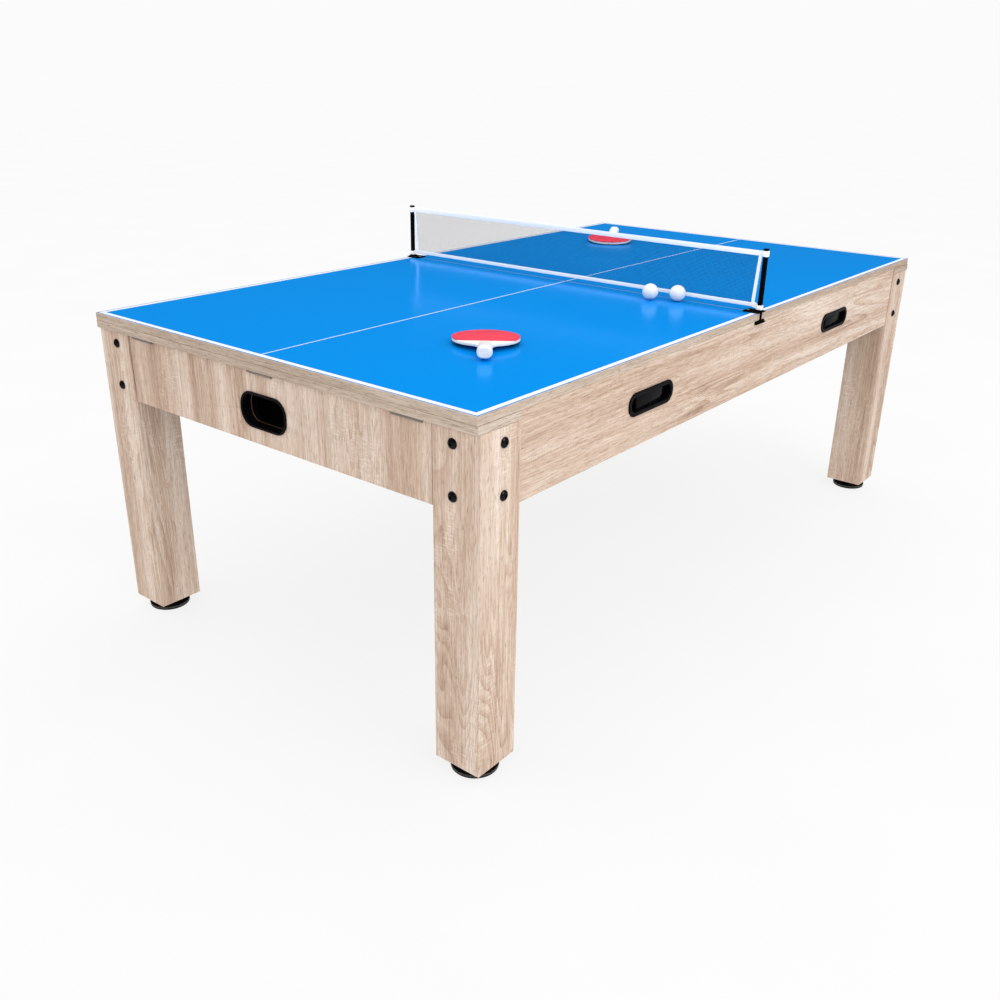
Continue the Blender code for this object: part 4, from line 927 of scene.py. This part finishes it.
def make_cushions():
    """Cushions in their packed section, with their long edges rounded."""
    names = [f"cushion_{end}_end" for end in ENDS]
    names += [f"cushion_{side}_{end}" for side in SIDES for end in ENDS]
    for name in names:
        shape = copy_of(name)
        long_edges = [e for e in shape.edges if e.calc_face_angle(0.0) > 0.2]
        bmesh.ops.bevel(shape, geom=long_edges, offset=0.0011, segments=3, profile=0.5, affect='EDGES')
        piece = finished(f"cloth_covered_{name}", shape, "frame", ["cloth"], [name], 60)


def make_pockets():
    """Moulded drop pockets with a rolled lip, open towards the table above the cloth."""
    places = [(f"pocket_{corner}", sx, sy) for corner, sx, sy in CORNERS]
    places += [(f"pocket_middle_{side}", 0, sy) for side, sy in SIDES.items()]
    outer = POCKET_RADIUS + POCKET_WALL
    flange = outer + POCKET_FLANGE
    mouth = math.asin(POCKET_MOUTH / 2 / outer)
    cloth_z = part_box("bed_cloth")[1].z
    bed_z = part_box("bed")[0].z
    for node, sx, sy in places:
        low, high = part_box(node)
        x, y = ((low + high) / 2).xy
        if sx:
            x = sx * (abs(low.x if sx < 0 else high.x) - outer - POCKET_FLANGE)
            y = sy * (abs(low.y if sy < 0 else high.y) - outer - POCKET_FLANGE)
        drum = [(POCKET_RADIUS, low.z), (outer, low.z), (outer, bed_z - 0.0035), (flange, bed_z - 0.0035),
                (flange, bed_z - GAP), (outer, bed_z - GAP), (outer, cloth_z), (POCKET_RADIUS, cloth_z)]
        shape = lathe(drum, 72, ring=True)
        wall = [(POCKET_RADIUS, cloth_z - 0.001), (outer, cloth_z - 0.001)]
        wall += arc((outer - 0.0015, high.z - 0.0015), 0.0015, 0, 90, 4)
        wall += arc((POCKET_RADIUS + 0.0014, high.z - 0.0015), 0.0014, 90, 180, 4)
        facing = math.atan2(-sy, -sx)
        join(shape, lathe(wall, 48, facing + mouth, 2 * math.pi - 2 * mouth, ring=True))
        move(shape, Matrix.Translation((x, y, 0.0)))
        finished(f"drop_{node}", shape, "frame", ["plastic"], [node])


def make_rail_sights():
    """Round sights let into the rail caps, three between each pair of pockets."""
    seats = []
    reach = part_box("long_rail_left")[1].x
    for side in SIDES:
        low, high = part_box(f"long_rail_{side}")
        for share in (0.25, 0.5, 0.75):
            for sx in (-1, 1):
                seats.append(((sx * reach * share, (low.y + high.y) / 2, high.z), UP))
    for end in ENDS:
        low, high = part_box(f"end_rail_{end}")
        for share in (-0.5, 0.0, 0.5):
            seats.append((((low.x + high.x) / 2, high.y * share * 0.8, high.z), UP))
    mesh = grown(stud_tree(), seats, "line", {"Radius": STUD_RADIUS, "Height": SIGHT_HEIGHT})
    finished("rail_sights", mesh, "frame", ["line"])


# --- the table-tennis top

def make_half_top(end, sx):
    """Blue half top with printed lines, oak edging on three sides and a bare seam edge."""
    node = f"tennis_top_{end}"
    low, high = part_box(node)
    outer = abs(low.x if sx < 0 else high.x)
    seam = abs(high.x if sx < 0 else low.x)
    half = high.y
    line_in = LINE_MARGIN + LINE_WIDTH
    x_cuts = [seam, seam + 0.002, outer - line_in, outer - LINE_MARGIN, outer - EDGING, outer]
    y_cuts = [CENTRE_LINE / 2, half - line_in, half - LINE_MARGIN, half - EDGING, half]
    shape = gridded_slab(sorted(sx * x for x in x_cuts), sorted([-y for y in y_cuts] + y_cuts),
                         low.z, high.z, EDGE_BREAK)
    blue, line, edge_x, edge_y, under, core = range(6)
    for face in shape.faces:
        x, y, _ = (abs(reach) for reach in face.calc_center_median())
        if face.normal.z < -0.9:
            face.material_index = under
        elif abs(face.normal.x) > 0.5:
            face.material_index = core if x < seam + 0.003 else edge_y
        elif y > half - EDGING or abs(face.normal.y) > 0.5:
            face.material_index = edge_x
        elif x > outer - EDGING:
            face.material_index = edge_y
        else:
            inside = x < outer - LINE_MARGIN and y < half - LINE_MARGIN
            on_frame = x > outer - line_in or y > half - line_in
            on_middle = y < CENTRE_LINE / 2 and x > seam + 0.003
            face.material_index = line if inside and (on_frame or on_middle) else blue
    finishes = ["blue", "line", "edge_x", "edge_y", "under", "core"]
    finished(f"playing_half_{end}", shape, "tennis_top", finishes, [node])


def make_net_posts():
    """Square posts on spring clips that grip the half tops at the seam."""
    half = POST_SIDE / 2
    cap = half + 0.0006
    plate_low = TOP_HIGH.z + GAP
    plate_high = TOP_HIGH.z + CLIP_THICKNESS
    jaw_high = TOP_LOW.z - GAP
    jaw_low = jaw_high - CLIP_JAW_THICKNESS
    web = TOP_HIGH.y + GAP
    screws = []
    for side, sy in SIDES.items():
        node = f"net_post_{side}"
        low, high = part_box(node)
        outer = high.y if sy > 0 else -low.y
        inner = outer - CLIP_REACH
        post = outer - 0.003 - half
        parts = {
            "plate": (0.018, inner, outer, plate_low, plate_low + CLIP_THICKNESS, 0.0009, 3),
            "post": (half, post - half, post + half, TOP_HIGH.z + CLIP_THICKNESS / 2, high.z, 0.0014, 3),
            "cap": (cap, post - cap, post + cap, high.z - 0.004, high.z, 0.0008, 2),
            "boss": (0.008, post - 0.010, outer, plate_high, plate_high + 0.003, 0.0008, 2),
            "web": (CLIP_WEB / 2, web, web + CLIP_THICKNESS, TOP_LOW.z - CLIP_JAW_THICKNESS / 2, plate_high,
                    0.0005, 2),
            "jaw": (0.025, outer - 0.020, outer, jaw_low, jaw_low + 0.0035, 0.0009, 2),
            "pad": (0.020, outer - 0.018, outer - 0.001, jaw_low + 0.0030, jaw_high, 0.0009, 2),
        }
        shape = bmesh.new()
        for reach, near, far, bottom, top, edge_round, segments in parts.values():
            join(shape, block((-reach, sy * near, bottom), (reach, sy * far, top), edge_round, segments))
        finished(f"clip_on_{node}", shape, "tennis_top", ["plastic"], [node])
        screws.append(((0.0, sy * (inner + 0.007), plate_low + CLIP_THICKNESS), UP))
    heads = grown(stud_tree(), screws, "zinc", {"Radius": STUD_RADIUS, "Height": SCREW_HEAD_HEIGHT})
    finished("clip_screws", heads, "tennis_top", ["zinc"])


def flat_strip(corners, reach):
    """Strip standing across X through (y, z) corners."""
    return loft([[(x, y, z) for y, z in corners] for x in (-reach, reach)])


def net_tapes(side, inset, net_low, net_high):
    """White tapes round the netting, tied round both posts at the top and the foot."""
    low_tape = net_low + NET_TAPE * 0.8
    post_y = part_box("net_post_left")[1].y - 0.003 - POST_SIDE / 2
    wrap = POST_SIDE / 2 + 0.0012
    tie = TOP_HIGH.z + TIE_LIFT
    tapes = bmesh.new()
    join(tapes, block((-TAPE_HALF, -side, net_high - NET_TAPE), (TAPE_HALF, side, net_high)))
    join(tapes, block((-TAPE_HALF, -inset, net_low), (TAPE_HALF, inset, low_tape)))
    for sy in (-1, 1):
        join(tapes, flat_strip([(sy * (side - TAPE_TOP - SIDE_TAPE), net_high - 0.0005),
                                (sy * (side - TAPE_TOP), net_high - 0.0005), (sy * inset, net_low + 0.0005),
                                (sy * (inset - SIDE_TAPE), net_low + 0.0005)], SIDE_TAPE_HALF))
        join(tapes, block((-wrap, sy * (post_y - wrap), net_high - NET_TAPE - 0.001),
                          (wrap, sy * (post_y + wrap), net_high + 0.001), 0.0012, 3))
        join(tapes, flat_strip([(sy * (inset - SIDE_TAPE), net_low + 0.0004), (sy * (side + 0.003), tie),
                                (sy * (side + 0.003), tie + TIE_HEIGHT), (sy * inset, net_low + NET_TAPE)],
                               TAPE_HALF * 0.9))
        join(tapes, block((-wrap, sy * (post_y - wrap), tie), (wrap, sy * (post_y + wrap), tie + TIE_HEIGHT),
                          0.0012, 3))
    return finished("net_tapes", tapes, "tennis_top", ["tape"])


def make_net():
    """Fine netting inside white tapes, tied round both posts."""
    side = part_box("net")[1].y
    inset = side - NET_SIDE_INSET
    net_low = TOP_HIGH.z + NET_LIFT
    net_high = TOP_HIGH.z + NET_HEIGHT
    width = 2 * (inset - 0.001)
    height = net_high - net_low - NET_TAPE
    mesh = grown(netting_tree(), [((0.0, 0.0, (net_low + net_high) / 2), UP)], "thread", {
        "Width": width, "Height": height, "Pitch": THREAD_PITCH, "Thread": THREAD_WIDTH})
    netting = finished("netting", mesh, "tennis_top", ["thread"], ["net"], 10)
    tape_piece = net_tapes(side, inset, net_low, net_high)
    rows = []
    for z in (net_high - NET_TAPE + STITCH_MARGIN, net_low + NET_TAPE * 0.8 - STITCH_MARGIN):
        rows += [((x, 0.0, z), (0, 1, 0)) for x in (-TAPE_HALF, TAPE_HALF)]
    stitches = grown(stitch_tree(), rows, "tape", {
        "Run": 2 * inset - 0.01, "Pitch": STITCH_PITCH, "Thread": STITCH_RADIUS})
    sewn = finished("tape_stitches", stitches, "tennis_top", ["tape"])


def bat_lie(centre, heading):
    """Place of a bat from its own frame, lying on its handle's root and the blade's far edge."""
    middle = HANDLE[1] / 2
    blade_low = middle - BLADE_THICKNESS / 2
    root_low = middle - middle * HANDLE_ROOT_SCALE
    tilt = -math.atan2(blade_low - root_low, BLADE[0] / 2 + HANDLE_ROOT)
    lie = Matrix.Rotation(tilt, 4, 'Y') @ Matrix.Translation((-HANDLE_ROOT, 0.0, -root_low))
    lie = Matrix.Translation((HANDLE_ROOT, 0.0, 0.0)) @ lie
    place = Matrix.Translation((*centre, TOP_HIGH.z + GAP))
    return place @ Matrix.Rotation(math.radians(heading), 4, 'Z') @ lie


def blade_outline(inset):
    """Blade's outline, inset."""
    points = []
    for step in range(96):
        angle = 2 * math.pi * step / 96
        x = (BLADE[0] / 2 - inset) * math.cos(angle)
        y = (BLADE[1] / 2 - inset) * math.sin(angle)
        points.append((x, y))
    return points


def rubber_outline(inset):
    """Blade's outline cut straight across before the handle."""
    return [(min(x, RUBBER_END), y) for x, y in blade_outline(inset)]


def shoulder_outline(inset):
    """Concave shoulders between the blade's edge and the handle."""
    side = []
    for step in range(9):
        share = step / 8
        side.append((SHOULDER_START + SHOULDER_REACH * share,
                     HANDLE[0] * 0.46 + SHOULDER_FLARE * (1 - share) ** 2.2 - inset))
    return side + [(x, -y) for x, y in reversed(side)]


def rounded_board(outline, low, high, edge):
    """Board of a given outline with rounded top and bottom edges."""
    turns = [math.radians(angle) for angle in (0, 30, 60, 90)]
    steps = [(edge * (1 - math.sin(turn)), edge * (1 - math.cos(turn))) for turn in turns]
    rows = [(inset, low + rise) for inset, rise in steps]
    rows += [(inset, high - rise) for inset, rise in reversed(steps)]
    return loft([[(x, y, z) for x, y in outline(inset)] for inset, z in rows])


def make_bats():
    """Bats: white blade, red and black rubbers, and a rounded white handle."""
    middle = HANDLE[1] / 2
    low = middle - BLADE_THICKNESS / 2
    high = middle + BLADE_THICKNESS / 2
    blade, red, black, handle = range(4)
    for name, (centre, heading) in BATS.items():
        shape = bmesh.new()
        join(shape, rounded_board(blade_outline, low + 0.0022, high - 0.0022, 0.0006), index=blade)
        join(shape, rounded_board(rubber_outline, high - RUBBER_THICKNESS, high, 0.0004), index=red)
        join(shape, rounded_board(rubber_outline, low, low + RUBBER_THICKNESS, 0.0004), index=black)
        join(shape, rounded_board(shoulder_outline, low + 0.0023, high - 0.0023, 0.0006), index=blade)
        join(shape, handle_mesh(middle), index=handle)
        move(shape, bat_lie(centre, heading))
        finished(f"table_tennis_{name}", shape, name,
                 ["blade", "red", "black", "handle"], [name], 40)


def handle_mesh(middle):
    """Handle that runs out of the blade nearly flush and swells to a domed end."""
    rows = []
    for reach, wide, top, bottom in HANDLE_STATIONS:
        loop = oval(HANDLE[0] * wide, HANDLE[1], HANDLE[1] * min(wide, 1.0) * 0.46, 6)
        rows.append([(HANDLE_ROOT + reach, y, middle + z * (top if z > 0 else bottom)) for y, z in loop])
    return loft(rows)


def make_balls():
    """Two seamed balls."""
    for side in SIDES:
        node = f"ball_{side}"
        low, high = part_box(node)
        centre = (low + high) / 2
        radius = (high.z - low.z) / 2
        profile = []
        for step in range(49):
            angle = -math.pi / 2 + math.pi * step / 48
            weld = 0.00006 if step == 24 else 0.0
            profile.append(((radius + weld) * math.cos(angle), (radius + weld) * math.sin(angle)))
        shape = lathe(profile, 64)
        turn = Matrix.Translation(centre) @ Matrix.Rotation(0.7, 4, (1.0, 0.4, 0.2))
        move(shape, turn)
        finished(f"seamed_{node}", shape, node, ["ball"], [node], 60)


# --- the studio

def make_floor():
    """Pale glowing floor that polished faces mirror only dimly."""
    mesh = bpy.data.meshes.new("studio_floor")
    corners = [(-1, -1), (1, -1), (1, 1), (-1, 1)]
    mesh.from_pydata([(FLOOR_REACH * x, FLOOR_REACH * y, 0) for x, y in corners], [], [(0, 1, 2, 3)])
    pale = Finish("pale_floor", (0.12, 0.12, 0.12), 0.9, Specular_IOR_Level=0.0,
                  Emission_Color=(1.0, 1.0, 1.0, 1.0))
    pale.colour(pale.noise(pale.place, 2.0), (0.3, (0.115, 0.115, 0.115)), (0.7, (0.125, 0.125, 0.125)))
    mirrored = pale.add("ShaderNodeLightPath").outputs["Is Glossy Ray"]
    glow = pale.between(mirrored, 0.0, 1.0, FLOOR_GLOW, FLOOR_MIRRORED)
    pale.feed(pale.shader.inputs["Emission Strength"], glow)
    mesh.materials.append(pale.material)
    ground = bpy.data.objects.new("studio_floor", mesh)
    bpy.context.scene.collection.objects.link(ground)


def make_surround():
    """White world, with its own strength as seen, as a light and as mirrored."""
    world = bpy.data.worlds.new("white_surround")
    world.use_nodes = True
    tree = Tree(world.node_tree)
    background = world.node_tree.nodes["Background"]
    background.inputs["Color"].default_value = (1.0, 1.0, 1.0, 1.0)
    path = tree.add("ShaderNodeLightPath").outputs
    strength = tree.between(path["Is Camera Ray"], 0.0, 1.0, SURROUND_LIGHT, SURROUND_SEEN)
    strength = tree.between(path["Is Glossy Ray"], 0.0, 1.0, strength, SURROUND_MIRRORED)
    tree.feed(background.inputs["Strength"], strength)
    bpy.context.scene.world = world


def make_lamps():
    """Large soft lamps that face the table's middle."""
    for name, (place, size, power) in LAMPS.items():
        lamp = bpy.data.lights.new(name, 'AREA')
        lamp.size = size
        lamp.energy = power
        holder = bpy.data.objects.new(name, lamp)
        holder.location = place
        holder.rotation_euler = (LAMP_AIM - Vector(place)).to_track_quat('-Z', 'Y').to_euler()
        bpy.context.scene.collection.objects.link(holder)


def make_camera():
    """Camera given by its place, heading, downward pitch and roll."""
    yaw, pitch, roll = (math.radians(a) for a in (CAMERA_YAW, CAMERA_PITCH, CAMERA_ROLL))
    forward = Vector((math.cos(yaw) * math.cos(pitch), math.sin(yaw) * math.cos(pitch), -math.sin(pitch)))
    right = Vector((math.sin(yaw), -math.cos(yaw), 0.0))
    up = right.cross(forward)
    rolled_right = right * math.cos(roll) + up * math.sin(roll)
    rolled_up = up * math.cos(roll) - right * math.sin(roll)
    turn = Matrix((rolled_right, rolled_up, -forward)).transposed()
    lens = bpy.data.cameras.new("camera")
    lens.lens = CAMERA_LENS
    camera = bpy.data.objects.new("camera", lens)
    camera.matrix_world = Matrix.Translation(CAMERA_PLACE) @ turn.to_4x4()
    bpy.context.scene.collection.objects.link(camera)
    bpy.context.scene.camera = camera
    bpy.context.scene.view_settings.view_transform = 'Standard'


make_camera()
make_floor()
make_surround()
make_lamps()
finish_boards()
make_corners()
make_feet()
make_trays()
make_window()
make_bed_cloth()
make_cushions()
make_pockets()
make_rail_sights()
for end_name, end_sign in ENDS.items():
    make_half_top(end_name, end_sign)
make_net_posts()
make_net()
make_bats()
make_balls()
